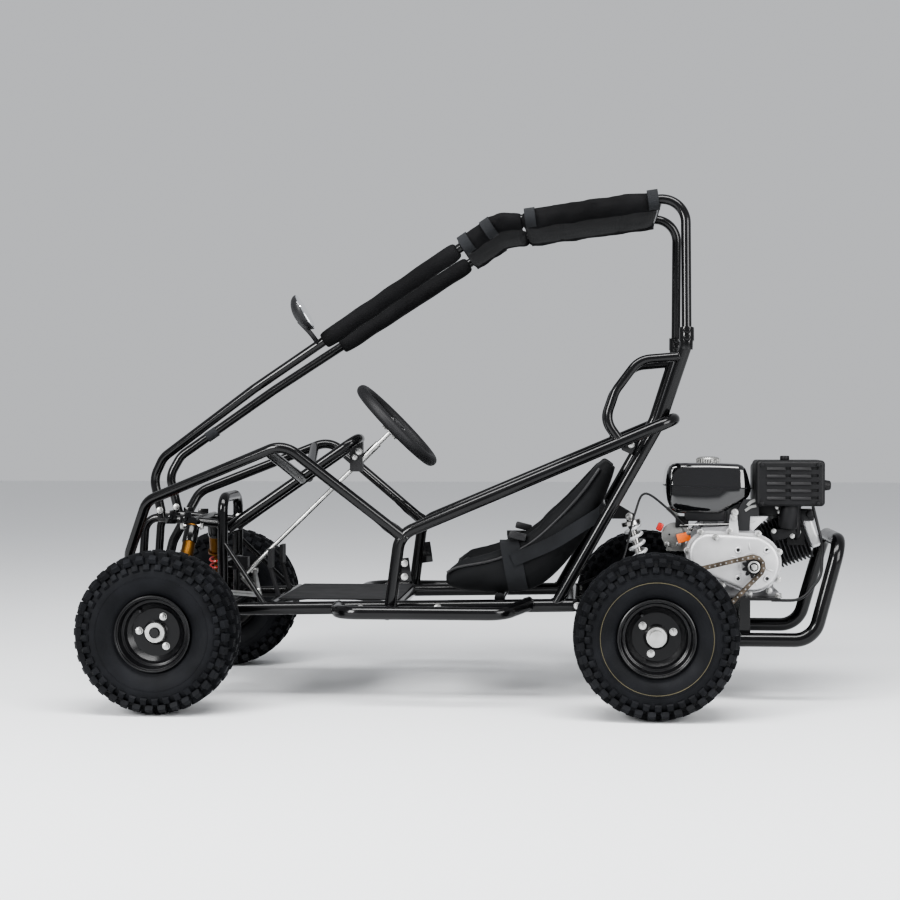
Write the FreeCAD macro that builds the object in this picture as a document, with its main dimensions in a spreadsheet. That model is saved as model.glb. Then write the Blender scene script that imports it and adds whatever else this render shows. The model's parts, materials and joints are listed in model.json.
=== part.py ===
import FreeCAD, Part
import math
import os

# Single-seat off-road buggy: tubular frame with a roll cage over the driver, a bucket seat,
# double front arms with sprung dampers, a live rear axle and an open engine behind the axle.
# Forward is +X, the left side is +Y and up is +Z. The origin is on the ground, at the middle.
# Every place is a share of the wheelbase (behind the front axle), of half the track and of
# the cage's height, so the whole vehicle follows those three sizes.

doc = FreeCAD.newDocument("dune_buggy")
sheet = doc.addObject("Spreadsheet::Sheet", "sizes")

driving_sizes = [
    # whole vehicle
    ("wheelbase", 1085, "front axle to rear axle"),
    ("half_track", 380, "centre plane to the middle of a tyre"),
    ("cage_height", 1150, "ground to the top of the roof tubes"),
    ("bumper_reach", 440, "rear axle to the back of the rear bumper"),
    # clearances
    ("weld_gap", 0.15, "between a coped tube and the tube that it meets"),
    ("seat_gap", 0.3, "between bolted or soft pieces and what carries them"),
    ("running_gap", 0.05, "radial play of a shaft in its bore"),
    ("free_gap", 1.5, "play beside a turning piece"),
    ("cut_overrun", 2, "how far a cutting tool passes a face"),
    # frame tubes, outside radii
    ("cage_tube_radius", 11, "roll cage"),
    ("collar_radius", 16.5, "bolted collars of the roll cage"),
    ("side_tube_radius", 12, "side rails and the column hoop"),
    ("arm_tube_radius", 13.5, "arm rails and uprights"),
    ("floor_tube_radius", 15, "floor rails, steps and cross members"),
    ("bumper_tube_radius", 16, "rear bumper"),
    ("loop_tube_radius", 10, "shoulder loops and nose rails"),
    ("rod_radius", 5.5, "thin brace rods"),
    ("bend_radius", 55, "ordinary tube bend at its centre line"),
    ("tight_bend_radius", 34, "small tube bend at its centre line"),
    # tyres and wheels
    ("tyre_radius", 178, "over the lugs"),
    ("lug_height", 11, "how far a lug stands over the tread band"),
    ("tyre_width", 145, "over the shoulder lugs"),
    ("lug_row_width", 34, "along the axle"),
    ("lug_count", 26, "lugs round one row"),
    ("lug_root", 9, "ring under a row of lugs"),
    ("middle_lug_height", 8, "how far a middle lug stands over the tread band"),
    ("rim_radius", 84, "outside of the rim's flange"),
    ("rim_well_radius", 70, "outside of the rim's well"),
    ("rim_wall", 3, "sheet of the pressed rim"),
    ("flange_width", 7, "rolled edge of the rim"),
    ("bead_seat_width", 16, "flat under the tyre's bead"),
    ("well_slope", 7, "slope from the bead seat down to the well"),
    ("dish_depth", 22, "wheel disc behind the rim's outer edge"),
    ("dish_rise", 8, "dished rim of the wheel disc"),
    ("damper_radius", 15, "front damper body"),
    ("damper_rod_radius", 6, "damper rod"),
    ("spring_radius", 19, "front spring over its wire"),
    ("rear_spring_radius", 23, "rear spring over its wire"),
    ("rear_rod_radius", 9, "rear damper rod"),
    ("spring_wire_radius", 2.8, "front spring wire"),
    ("rear_wire_radius", 4, "rear spring wire"),
    ("front_coil_turns", 7, "turns of a front spring"),
    ("rear_coil_turns", 5, "turns of the rear spring"),
    ("cup_thickness", 5, "collar and cup at the ends of a front spring"),
    ("hub_radius", 23, "hub boss and its end disc"),
    ("hub_stand", 14, "hub boss in front of the wheel disc"),
    ("hub_bolt_circle", 38, "radius of the three wheel bolts"),
    ("hub_bolt_radius", 8, "wheel nut"),
    ("hub_bolt_height", 9, "wheel nut"),
    # steering
    ("column_radius", 5.5, "silver steering shaft"),
    ("column_sleeve_radius", 8.5, "upper sleeve of the shaft"),
    ("wheel_ring_radius", 117, "steering wheel to the middle of its grip"),
    ("wheel_grip_radius", 13, "steering wheel grip"),
    ("wheel_hub_radius", 30, "steering wheel plate"),
    ("wheel_hub_thickness", 7, "steering wheel plate"),
    ("spoke_radius", 7, "steering wheel spoke"),
    ("pitman_length", 50, "steering shaft to the inner tie rod ends"),
    ("tie_rod_radius", 6, "tie rods"),
    ("kingpin_radius", 8, "kingpin"),
    ("knuckle_radius", 16, "tube that turns on the kingpin"),
    ("pin_lug_thickness", 8, "lugs that hold the kingpin"),
    ("pin_lug_width", 36, "lugs that hold the kingpin"),
    ("pin_lug_reach", 38, "kingpin to the back of its bracket"),
    ("drop_arm_width", 12, "drop arm of the steering shaft"),
    ("drop_arm_thickness", 8, "drop arm of the steering shaft"),
    ("drop_boss_radius", 11, "boss of the drop arm"),
    ("tie_ball_radius", 6.6, "ends of the tie rods and of the drop arm"),
    ("tie_end_offset", 9, "inner tie rod ends, to each side of the drop arm's end"),
    ("tie_end_drop", 10.7, "inner tie rod ends, under the drop arm's end"),
    ("tie_eye_radius", 10, "outer eye of a tie rod"),
    ("rod_eye_gap", 4, "under the eye, where the steering arm passes"),
    ("knuckle_height", 84, "along the kingpin"),
    ("stub_radius", 10, "front stub axle"),
    # rear axle
    ("axle_radius", 15, "live rear axle"),
    ("axle_overhang", 6, "axle past the wheel hub"),
    ("chain_pitch", 12.7, "roller to roller"),
    ("axle_teeth", 47, "axle sprocket"),
    ("engine_teeth", 11, "output sprocket"),
    ("lightening_radius", 14, "round holes of the axle sprocket"),
    ("sprocket_thickness", 5, "both sprockets"),
    ("boss_length", 22, "boss of the sprocket and of the brake disc"),
    ("chain_roller_radius", 3.9, "chain rollers"),
    ("chain_width", 12, "over the link plates"),
    ("chain_height", 10, "link plates"),
    ("disc_radius", 80, "brake disc"),
    ("disc_thickness", 4, "brake disc"),
    ("disc_hole_radius", 4, "cooling holes of the brake disc"),
    ("caliper_width", 34, "brake caliper across the disc"),
    ("caliper_reach", 92, "axle to the front of the brake caliper"),
    ("caliper_length", 46, "brake caliper along the vehicle"),
    ("caliper_height", 50, "brake caliper"),
    ("caliper_foot", 22, "brake caliper's underside over the axle"),
    ("bracket_inset", 11, "the caliper's bracket inside its edges"),
    ("carrier_length", 40, "axle bearing carrier along the axle"),
    ("carrier_radius", 30, "axle bearing carrier"),
    # floor, seat and pads
    ("ear_thickness", 4, "plates that hold the rear damper"),
    ("sheet_thickness", 3, "floor pan and plates"),
    ("pedal_width", 44, "pedal plates"),
    ("seat_width", 372, "over the side bolsters"),
    ("seat_shell", 32, "thickness of the padded shell"),
    ("pad_radius", 22, "foam sleeve on a sloping cage tube"),
    ("roof_pad_wrap", 9, "foam round the roof tubes"),
    # engine
    ("engine_width", 250, "crankcase along the crankshaft"),
    ("gear_cover_thickness", 34, "output gear cover"),
    ("cover_to_sprocket", 24, "gear cover's face to the middle of the chain"),
    ("cover_radius", 63, "gear cover round the output shaft"),
    ("cover_gear_radius", 46, "gear cover round the gear"),
    ("cover_lift", 4, "gear cover's centre over the output shaft"),
    ("cover_round", 9, "rounded edge of the gear cover"),
    ("cover_flange", 5, "bolted edge round the gear cover"),
    ("cover_flange_thickness", 12, "bolted edge of the gear cover"),
    ("cover_boss_radius", 30, "raised ring round the output shaft"),
    ("cover_boss_height", 6, "raised ring round the output shaft"),
    ("output_radius", 10, "output shaft"),
    ("output_length", 58, "output shaft from the sprocket into the case"),
    ("output_stand", 16, "output shaft outside the sprocket"),
    ("barrel_width", 76, "cylinder under its fins"),
    ("barrel_height", 78, "cylinder under its fins"),
    ("fin_width", 112, "cylinder fins"),
    ("fin_height", 108, "cylinder fins"),
    ("valve_cover_depth", 26, "cover of the valve gear"),
    ("valve_cover_width", 84, "cover of the valve gear"),
    ("valve_cover_height", 74, "cover of the valve gear"),
    ("valve_cover_round", 8, "cover of the valve gear"),
    ("tank_round", 16, "corners of the fuel tank"),
    ("seam_reach", 5, "tank seam past the tank's sides"),
    ("cap_radius", 29, "tank cap"),
    ("guard_round", 9, "corners of the silencer guard"),
    ("louvre_height", 6, "louvre slots of the silencer guard"),
    ("louvre_depth", 4, "louvre slots of the silencer guard"),
    ("cleaner_round", 14, "corners of the air cleaner"),
    ("drum_radius", 80, "recoil starter cover"),
    ("drum_depth", 46, "recoil starter cover"),
    ("drum_slot_width", 7, "slots of the recoil starter cover"),
    ("pulley_radius", 30, "recoil starter pulley"),
    ("mount_post_width", 24, "posts under the engine plate"),
    ("cover_hole_pitch", 65, "square of four threaded holes round the output shaft"),
    ("cover_hole_radius", 4, "threaded holes of the gear cover"),
    ("cover_hole_depth", 14, "threaded holes of the gear cover"),
    ("fin_pitch", 9, "cylinder fins"),
    ("fin_thickness", 3, "cylinder fins"),
    ("mirror_width", 96, "mirror head across"),
    ("mirror_shell_depth", 26, "mirror head"),
    ("mirror_rim", 6, "shell round the mirror glass"),
    ("glass_thickness", 3, "mirror glass"),
    ("cable_radius", 3.5, "throttle cable"),
]

for row, (alias, value, note) in enumerate(driving_sizes, start=1):
    sheet.set("A%d" % row, alias)
    sheet.set("B%d" % row, str(value))
    sheet.setAlias("B%d" % row, alias)
    sheet.set("C%d" % row, note)
doc.recompute()


def size(alias):
    return float(sheet.get(alias))


def cell(alias):
    return "sizes." + alias


front_axle_x = (size("wheelbase") + size("bumper_reach") - size("tyre_radius")) / 2
rear_axle_x = front_axle_x - size("wheelbase")
UP = FreeCAD.Vector(0, 0, 1)
LEFT = FreeCAD.Vector(0, 1, 0)
FORWARD = FreeCAD.Vector(1, 0, 0)


def at(behind_share, left_share, up_share):
    """A place in the vehicle from shares of wheelbase, half track and cage height."""
    return FreeCAD.Vector(
        front_axle_x - behind_share * size("wheelbase"),
        left_share * size("half_track"),
        up_share * size("cage_height"),
    )


def other_side(point):
    return FreeCAD.Vector(point.x, -point.y, point.z)


def add(kind, label):
    made = doc.addObject(kind, label)
    made.Label = label
    return made


def feature(label, shape):
    made = add("Part::Feature", label)
    made.Shape = shape
    made.Placement = FreeCAD.Placement()
    return made


def look_along(direction):
    return FreeCAD.Rotation(UP, direction)


def bent_path(points, radius):
    """Straight runs joined by tangent arcs, each as large as its runs allow."""
    edges = []
    start = points[0]
    for index in range(1, len(points) - 1):
        corner = points[index]
        back = (points[index - 1] - corner)
        ahead = (points[index + 1] - corner)
        run = min(back.Length, ahead.Length)
        back.normalize()
        ahead.normalize()
        turn = math.pi - back.getAngle(ahead)
        half_tangent = math.tan(turn / 2)
        arc_radius = min(radius, path_run_share * run / half_tangent)
        reach = arc_radius * half_tangent
        first = corner + back * reach
        last = corner + ahead * reach
        bisector = back + ahead
        bisector.normalize()
        centre = corner + bisector * (arc_radius / math.cos(turn / 2))
        inward = corner - centre
        inward.normalize()
        middle = centre + inward * arc_radius
        edges.append(Part.LineSegment(start, first).toShape())
        edges.append(Part.Arc(first, middle, last).toShape())
        start = last
    edges.append(Part.LineSegment(start, points[-1]).toShape())
    return Part.Wire(edges)


path_run_share = 0.45
copes = {}


def swept(label, path, radius_alias, extra=""):
    """A round bar along a path: a circle section bound to its cell, swept."""
    start = path.Edges[0].Vertexes[0].Point
    direction = path.Edges[0].tangentAt(path.Edges[0].FirstParameter)
    line = feature(label + "_line", path)
    ring = add("Part::Circle", label + "_ring")
    ring.Placement = FreeCAD.Placement(start, look_along(direction))
    ring.setExpression("Radius", cell(radius_alias) + extra)
    bar = add("Part::Sweep", label)
    bar.Sections = [ring]
    bar.Spine = (line, ["Edge%d" % (number + 1) for number in range(len(path.Edges))])
    bar.Solid = True
    bar.Frenet = False
    return bar


tube_paths = {}


def tube(name, points, radius_alias, bend="bend_radius"):
    path = bent_path(points, size(bend))
    tube_paths[name] = (path, radius_alias)
    return swept(name, path, radius_alias)


def wide(name, gap="weld_gap"):
    """The same tube made wider by a gap, to cope its neighbours."""
    key = (name, gap)
    if key not in copes:
        path, radius_alias = tube_paths[name]
        copes[key] = swept(name + "_cope_" + gap, path, radius_alias, " + " + cell(gap))
    return copes[key]


def fused(label, pieces):
    if len(pieces) == 1:
        return pieces[0]
    made = add("Part::MultiFuse", label)
    made.Shapes = pieces
    return made


def cut(label, base, tools):
    made = add("Part::Cut", label)
    made.Base = base
    made.Tool = fused(label + "_tools", tools)
    return made


def rod(label, start, end, radius_alias, extra=""):
    made = add("Part::Cylinder", label)
    made.setExpression("Radius", cell(radius_alias) + extra)
    made.Height = (end - start).Length
    made.Placement = FreeCAD.Placement(start, look_along(end - start))
    return made


def block(label, low, high):
    made = add("Part::Box", label)
    made.Length = high.x - low.x
    made.Width = high.y - low.y
    made.Height = high.z - low.z
    made.Placement = FreeCAD.Placement(low, FreeCAD.Rotation())
    return made


nodes = {}


def node(label, pieces, coped_by=(), gap="weld_gap", also_cut=()):
    """One kept sub-part: its pieces together, coped by the tubes that it meets."""
    pieces = list(pieces)
    tools = [wide(name, gap) for name in coped_by] + list(also_cut)
    whole = pieces[0] if len(pieces) == 1 else fused(label + "_whole", pieces)
    if tools:
        whole = cut(label + "_coped", whole, tools)
    whole.Label = label
    nodes[label] = whole
    return whole


def merge(label, old_labels):
    """Pieces that lie side by side on one body share a node."""
    made = add("Part::MultiFuse", label + "_set")
    made.Shapes = [nodes.pop(old) for old in old_labels]
    for piece in made.Shapes:
        piece.Label = piece.Name + "_piece"
    made.Label = label
    nodes[label] = made


def both(name, points, radius_alias, bend="bend_radius"):
    """A tube on the left side and its mirror image on the right."""
    left = tube(name + "_left", points, radius_alias, bend)
    right = tube(name + "_right", [other_side(point) for point in points], radius_alias, bend)
    return [left, right]


def sides(*names):
    return [name + side for name in names for side in ("_left", "_right")]


# places that several pieces share
floor_rail_share = 0.5132
subframe_share = 0.3105
case_width_share = 0.86
damper_ear_shares = (0.042, -0.0526)
spots = {
    "cross_seat": at(0.4581, 0.8211, 0.1852),
    "floor_front": at(0.0737, 0.5132, 0.18),
    "floor_rear": at(0.8341, 0.5132, 0.193),
    "cage_foot": at(-0.0608, 0.2158, 0.3557),
    "cage_knee": at(-0.0811, 0.2, 0.4374),
    "cage_shin": at(-0.0571, 0.2263, 0.4809),
    "cage_slope": at(0.1502, 0.3211, 0.6209),
    "cage_roof_front": at(0.6756, 0.4868, 0.9452),
    "cage_roof_rear": at(1.0664, 0.5158, 0.9939),
    "cage_post_foot": at(1.0664, 0.6316, 0.7087),
    "nose_front": at(-0.0995, 0.1947, 0.3591),
    "nose_back": at(0.0737, 0.2316, 0.3443),
    "nose_chin": at(-0.1124, 0.1947, 0.1861),
    "rail_nose": at(-0.118, 0.3947, 0.1861),
    "rail_cheek": at(-0.1032, 0.5395, 0.2913),
    "rail_knee": at(-0.0516, 0.6895, 0.3983),
    "rail_apex": at(0.2488, 0.8842, 0.5113),
    "rail_back": at(0.4922, 0.6921, 0.3252),
    "arm_foot": at(0.4581, 0.6895, 0.1852),
    "arm_knee": at(0.4793, 0.6921, 0.3339),
    "arm_corner": at(1.0415, 0.6789, 0.5583),
    "upright_top": at(1.0654, 0.6316, 0.7009),
    "upright_knee": at(1.0157, 0.5395, 0.5565),
    "upright_foot": at(0.7982, 0.5132, 0.1922),
    "hoop_foot": at(0.0737, 0.1368, 0.3304),
    "hoop_top": at(0.3613, 0.1211, 0.5183),
    "step_front": at(0.3429, 0.5132, 0.1843),
    "step_out_front": at(0.3548, 0.8211, 0.1861),
    "step_out_rear": at(0.6931, 0.8211, 0.1861),
    "step_rear": at(0.7447, 0.5132, 0.1948),
    "shock_top": at(0.0129, 0.3053, 0.3409),
    "shock_foot": at(-0.0037, 0.6474, 0.1443),
    "kingpin": at(0, 0.7895, 0.1548),
    "damper_top": at(0.9548, 0, 0.36),
    "damper_foot": at(0.9935, 0, 0.2278),
    "column_foot": at(0.1041, 0, 0.233),
    "column_head": at(0.4461, 0, 0.5461),
    "output_shaft": at(1.2101, 0.3947, 0.2678),
}

def between(start, end, share):
    return start + (end - start) * share


def moved(point, forward=0, left=0, up=0):
    return FreeCAD.Vector(point.x + forward, point.y + left, point.z + up)


splice_share = 0.837
spots["cage_splice"] = between(spots["cage_slope"], spots["cage_roof_front"], splice_share)

# floor: two rails, cross members, stays out to the steps and a sheet pan
floor_rails = both("floor_rail", [spots["floor_front"], spots["floor_rear"]], "floor_tube_radius")
side_steps = both(
    "side_step",
    [spots["step_front"], spots["step_out_front"], spots["step_out_rear"], spots["step_rear"]],
    "floor_tube_radius",
)
arm_rails = both(
    "arm_rail",
    [spots["arm_foot"], spots["arm_knee"], spots["arm_corner"], at(1.0415, 0.4474, 0.5583)],
    "arm_tube_radius",
    "bend_radius",
)
arm_back = tube(
    "arm_back", [at(1.0415, 0.4474, 0.5583), at(1.0415, -0.4474, 0.5583)], "arm_tube_radius",
)
uprights = both(
    "upright",
    [spots["upright_top"], spots["upright_knee"], spots["upright_foot"]],
    "arm_tube_radius",
)
side_rails = both(
    "side_rail",
    [
        spots["rail_nose"],
        spots["rail_cheek"],
        spots["rail_knee"],
        spots["rail_apex"],
        spots["rail_back"],
    ],
    "side_tube_radius",
)
nose_rails = both(
    "nose_rail",
    [spots["nose_back"], spots["nose_front"], spots["nose_chin"], at(0.0571, 0.2211, 0.18)],
    "loop_tube_radius",
    "tight_bend_radius",
)
front_hoop = tube(
    "front_hoop",
    [
        at(0.0737, 0.2316, 0.1809),
        at(0.0737, 0.2316, 0.3983),
        at(0.0737, -0.2316, 0.3983),
        at(0.0737, -0.2316, 0.1809),
    ],
    "side_tube_radius",
    "tight_bend_radius",
)
hoop = tube(
    "hoop",
    [
        spots["hoop_foot"],
        spots["hoop_top"],
        other_side(spots["hoop_top"]),
        other_side(spots["hoop_foot"]),
    ],
    "side_tube_radius",
    "tight_bend_radius",
)
loops = both(
    "loop",
    [
        at(1.059, 0.6263, 0.68),
        at(0.9696, 0.6474, 0.673),
        at(0.9217, 0.6684, 0.613),
        at(0.9014, 0.6789, 0.5565),
        at(0.9327, 0.6816, 0.5148),
    ],
    "loop_tube_radius",
)
cage_legs = both(
    "cage_leg",
    [
        spots["cage_foot"],
        spots["cage_knee"],
        spots["cage_shin"],
        spots["cage_slope"],
        spots["cage_splice"],
    ],
    "cage_tube_radius",
)
cage_roofs = both(
    "cage_roof",
    [
        spots["cage_splice"],
        spots["cage_roof_front"],
        spots["cage_roof_rear"],
        spots["cage_post_foot"],
    ],
    "cage_tube_radius",
)
rail_stays = both(
    "rail_stay", [at(0.2138, 0.8632, 0.4983), at(0.2415, 0.1289, 0.4365)], "side_tube_radius",
)
shock_bar = tube(
    "shock_bar", [at(0.0129, 0.3105, 0.3496), at(0.0129, -0.3105, 0.3496)], "side_tube_radius",
)
dash_bar = tube(
    "dash_bar", [at(0.0737, 0.2316, 0.3304), at(0.0737, -0.2316, 0.3304)], "side_tube_radius",
)
nose_bar = tube("nose_bar", [spots["rail_nose"], other_side(spots["rail_nose"])], "side_tube_radius")
brace_rods = both("brace_rod", [at(0.0737, 0.2316, 0.3096), at(0.1889, 0.5053, 0.1826)], "rod_radius")

cross_rows = [
    at(0.0737, 0.5132, 0.18),
    at(0.1982, 0.5132, 0.1852),
    at(0.4581, 0.8211, 0.1852),
    at(0.8341, 0.5132, 0.193),
]
cross_members = [
    tube("cross_%d" % number, [place, other_side(place)], "floor_tube_radius")
    for number, place in enumerate(cross_rows)
]


crossbars = [
    tube(
        "roof_bar_front", [at(0.7005, 0.4921, 0.9487), at(0.7005, -0.4921, 0.9487)], "cage_tube_radius",
    ),
    tube("roof_bar_rear", [at(1.0101, 0.5105, 0.987), at(1.0101, -0.5105, 0.987)], "cage_tube_radius"),
]
subframe_rails = both(
    "subframe_rail",
    [
        at(0.8341, subframe_share, 0.193),
        at(0.9078, subframe_share, 0.1235),
        at(1.1982, subframe_share, 0.1235),
    ],
    "side_tube_radius",
)
bumper = tube(
    "bumper",
    [
        at(1.1539, 0.3947, 0.1235),
        at(1.3336, 0.3947, 0.1235),
        at(1.3908, 0.3526, 0.3183),
        at(1.3908, -0.3526, 0.3183),
        at(1.3336, -0.3947, 0.1235),
        at(1.1539, -0.3947, 0.1235),
    ],
    "bumper_tube_radius",
    "bend_radius",
)
subframe_cross = [
    tube("subframe_cross_%d" % number, [place, other_side(place)], "side_tube_radius")
    for number, place in enumerate([at(1.0968, subframe_share, 0.1235), at(1.1982, 0.3947, 0.1235)])
]

column_bar = tube(
    "column_bar", [at(0.0737, 0.2316, 0.2635), at(0.0737, -0.2316, 0.2635)], "side_tube_radius",
)
seat_bar = tube("seat_bar", [at(0.682, 0.5132, 0.2061), at(0.682, -0.5132, 0.2061)], "side_tube_radius")
damper_bar = tube(
    "damper_bar", [at(0.8995, 0.5263, 0.3791), at(0.8995, -0.5263, 0.3791)], "side_tube_radius",
)
carrier_bar = tube(
    "carrier_bar",
    [at(0.9954, subframe_share, 0.2), at(0.9954, -subframe_share, 0.2)],
    "side_tube_radius",
)

node("floor_rails", floor_rails)
def side_plate(label, outline, low_y, width):
    """A plate across the vehicle from a closed outline in side view."""
    flat = Part.Face(outline).extrude(FreeCAD.Vector(0, width, 0))
    made = feature(label, flat)
    made.Placement = FreeCAD.Placement(FreeCAD.Vector(0, low_y, 0), FreeCAD.Rotation())
    return made


def side_outline(places):
    flat = [FreeCAD.Vector(place.x, 0, place.z) for place in places]
    return Part.makePolygon(flat + [flat[0]])


damper_ears = []
for number, left_share in enumerate(damper_ear_shares):
    damper_ears.append(side_plate(
        "damper_ear_%d" % number,
        side_outline([
            at(0.8958, 0, 0.3548), at(0.8958, 0, 0.3817), at(0.9338, 0, 0.3817),
            at(0.9668, 0, 0.3632), at(0.9668, 0, 0.3548),
        ]),
        at(0, left_share, 0).y, size("ear_thickness"),
    ))
node(
    "cross_members",
    cross_members + [seat_bar, fused("damper_mount", [damper_bar] + damper_ears)],
    sides("floor_rail", "side_step", "upright"),
)
node("side_steps", side_steps, sides("floor_rail"))
node("arm_rails", arm_rails + [arm_back], ["cross_2"] + sides("upright"))
node("uprights", uprights, sides("floor_rail") + ["cross_3"])
node("shoulder_loops", loops, sides("upright", "arm_rail"))
node("side_rails", side_rails, sides("arm_rail") + ["nose_bar"])
node("front_hoop", [front_hoop], ["cross_0"])
node("nose_rails", nose_rails, ["cross_0", "front_hoop"])
node("rear_subframe", subframe_rails + subframe_cross, ["cross_3", "bumper"])
node("rear_bumper", [bumper])
node("column_hoop", [hoop], ["dash_bar"])
node("front_bars", [shock_bar, dash_bar, nose_bar, column_bar], ["front_hoop"] + sides("nose_rail"))
node(
    "frame_stays",
    rail_stays + brace_rods,
    sides("side_rail", "floor_rail") + ["hoop", "front_hoop", "cross_1"],
)
node("cage_legs", cage_legs, sides("nose_rail"), "seat_gap")
node("cage_roof", cage_roofs)
node("cage_crossbars", crossbars, sides("cage_roof"))


merge("floor_frame", ["floor_rails", "cross_members"])
merge("seat_uprights", ["uprights", "shoulder_loops"])
merge("nose_frame", ["nose_rails", "front_bars", "front_hoop"])

# bolted collars where the cage meets the seat uprights
collar_share = 0.09
collars = []
for side, flip in (("_left", False), ("_right", True)):
    foot = spots["cage_post_foot"]
    head = between(foot, spots["cage_roof_rear"], collar_share)
    if flip:
        foot = other_side(foot)
        head = other_side(head)
    collars.append(rod("collar" + side, foot, head, "collar_radius"))
node("cage_collars", collars, sides("cage_roof", "upright"), "seat_gap")
merge("cage_top", ["cage_roof", "cage_crossbars", "cage_collars"])

# foam sleeves on the sloping cage tubes
pad_start_share = 0.35
pad_end_share = 0.985
pads = []
for side, flip in (("left", False), ("right", True)):
    start = between(spots["cage_slope"], spots["cage_splice"], pad_start_share)
    end = between(spots["cage_slope"], spots["cage_splice"], pad_end_share)
    if flip:
        start = other_side(start)
        end = other_side(end)
    pads.append(rod("sleeve_" + side, start, end, "pad_radius"))
node("cage_pads", pads, sides("cage_leg"), "seat_gap")


def band(label, places, thickness, half_width):
    """A sheet across the vehicle that follows a few places in side view."""
    over = [FreeCAD.Vector(place.x, -half_width, place.z + thickness / 2) for place in places]
    under = [FreeCAD.Vector(place.x, -half_width, place.z - thickness / 2) for place in places]
    outline = over + under[::-1]
    face = Part.Face(Part.makePolygon(outline + [outline[0]]))
    return feature(label, face.extrude(FreeCAD.Vector(0, 2 * half_width, 0)))


# wraps over the roof tubes: a foam sleeve on each tube and a sheet between them
roof_line = [spots["cage_splice"], spots["cage_roof_front"], spots["cage_roof_rear"]]
front_wrap_shares = (0.06, 0.12)
rear_wrap_shares = (0.14, 0.87)
front_wrap = [
    between(roof_line[0], roof_line[1], front_wrap_shares[0]),
    roof_line[1],
    between(roof_line[1], roof_line[2], front_wrap_shares[1]),
]
rear_wrap = [between(roof_line[1], roof_line[2], share) for share in rear_wrap_shares]
for label, wrap in (("roof_pad_front", front_wrap), ("roof_pad_rear", rear_wrap)):
    pieces = []
    for side, flip in (("_left", False), ("_right", True)):
        line = [other_side(place) for place in wrap] if flip else wrap
        path = bent_path(line, size("bend_radius"))
        pieces.append(swept(label + side, path, "cage_tube_radius", " + " + cell("roof_pad_wrap")))
    middle = [moved(place, up=-size("cage_tube_radius")) for place in wrap]
    half_width = min(place.y for place in wrap)
    pieces.append(band(label + "_sheet", middle, 2 * size("roof_pad_wrap"), half_width))
    bars = ["roof_bar_front", "roof_bar_rear"]
    node(label, pieces, sides("cage_roof", "cage_leg") + bars, "seat_gap")

# floor pan between the rails
pan_half = size("half_track") * floor_rail_share - size("floor_tube_radius") - size("seat_gap")
pan_floor = spots["cross_seat"].z + size("floor_tube_radius") + size("seat_gap")
pan = block(
    "pan",
    FreeCAD.Vector(at(0.4654, 0, 0).x, -pan_half, pan_floor),
    FreeCAD.Vector(at(0.212, 0, 0).x, pan_half, pan_floor + size("sheet_thickness")),
)
node("floor_pan", [pan])

# bucket seat: side profile of the cushion and the reclined back, hollowed from above
seat_outline = [
    at(0.5641, 0, 0.2278), at(0.5567, 0, 0.2609), at(0.6101, 0, 0.2852),
    at(0.6931, 0, 0.3061), at(0.7613, 0, 0.3478),
    at(0.8092, 0, 0.3948), at(0.8774, 0, 0.4652), at(0.9014, 0, 0.4835),
    at(0.9272, 0, 0.48), at(0.9235, 0, 0.4452),
    at(0.8664, 0, 0.3435), at(0.8, 0, 0.2609), at(0.7373, 0, 0.2243), at(0.682, 0, 0.2174),
]
seat_hollow = [
    at(0.5161, 0, 0.2696), at(0.5161, 0, 0.3652), at(0.8111, 0, 0.5391),
    at(0.9309, 0, 0.5391), at(0.8848, 0, 0.4522),
    at(0.8341, 0, 0.3652), at(0.7834, 0, 0.2957), at(0.7327, 0, 0.2609),
    at(0.682, 0, 0.2504), at(0.5899, 0, 0.2591),
]


def side_solid(label, places, half_width):
    outline = [FreeCAD.Vector(place.x, -half_width, place.z) for place in places]
    face = Part.Face(Part.makePolygon(outline + [outline[0]]))
    return feature(label, face.extrude(FreeCAD.Vector(0, 2 * half_width, 0)))


seat_half = size("seat_width") / 2
seat_whole = side_solid("seat_whole", seat_outline, seat_half)
seat_room = side_solid("seat_room", seat_hollow, seat_half - size("seat_shell"))
node("seat", [cut("seat_cut", seat_whole, [seat_room])])


# wheels: a many-sided tyre body with bulged sides and two rows of lugs, on a pressed rim
lug_flank_shares = (0.18, 0.24, 0.76, 0.82)
# stations of the tyre body outside the rim: share of the way to the lug foot, share of the half width
bead_share = 0.7
tyre_station_shares = ((0.25, 0.86), (0.6, 0.93), (0.92, 0.88), (1, 0.82))
front_turn_share = 0.1
rear_turn_share = 0.4
half_lug_turn_share = 0.5


def ring_wire(radius, y, turn_share):
    """A many-sided ring whose corners follow the lugs."""
    count = int(size("lug_count"))
    points = []
    for index in range(count):
        angle = 2 * math.pi * (index + turn_share) / count
        points.append(FreeCAD.Vector(radius * math.cos(angle), y, radius * math.sin(angle)))
    return Part.makePolygon(points + [points[0]])


def lug_row(low_y, width, foot_radius, tip_radius, turn_share):
    """One row of lugs round the tyre, on a ring that is rooted in its body."""
    count = int(size("lug_count"))
    step = 2 * math.pi / count
    points = []
    for index in range(count):
        for radius, share in zip(
            (foot_radius, tip_radius, tip_radius, foot_radius), lug_flank_shares
        ):
            angle = (index + turn_share + share) * step
            points.append(FreeCAD.Vector(radius * math.cos(angle), low_y, radius * math.sin(angle)))
    outer = Part.makePolygon(points + [points[0]])
    inner = ring_wire(foot_radius - size("lug_root"), low_y, turn_share)
    return Part.Face(outer).cut(Part.Face(inner)).extrude(FreeCAD.Vector(0, width, 0))


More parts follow.
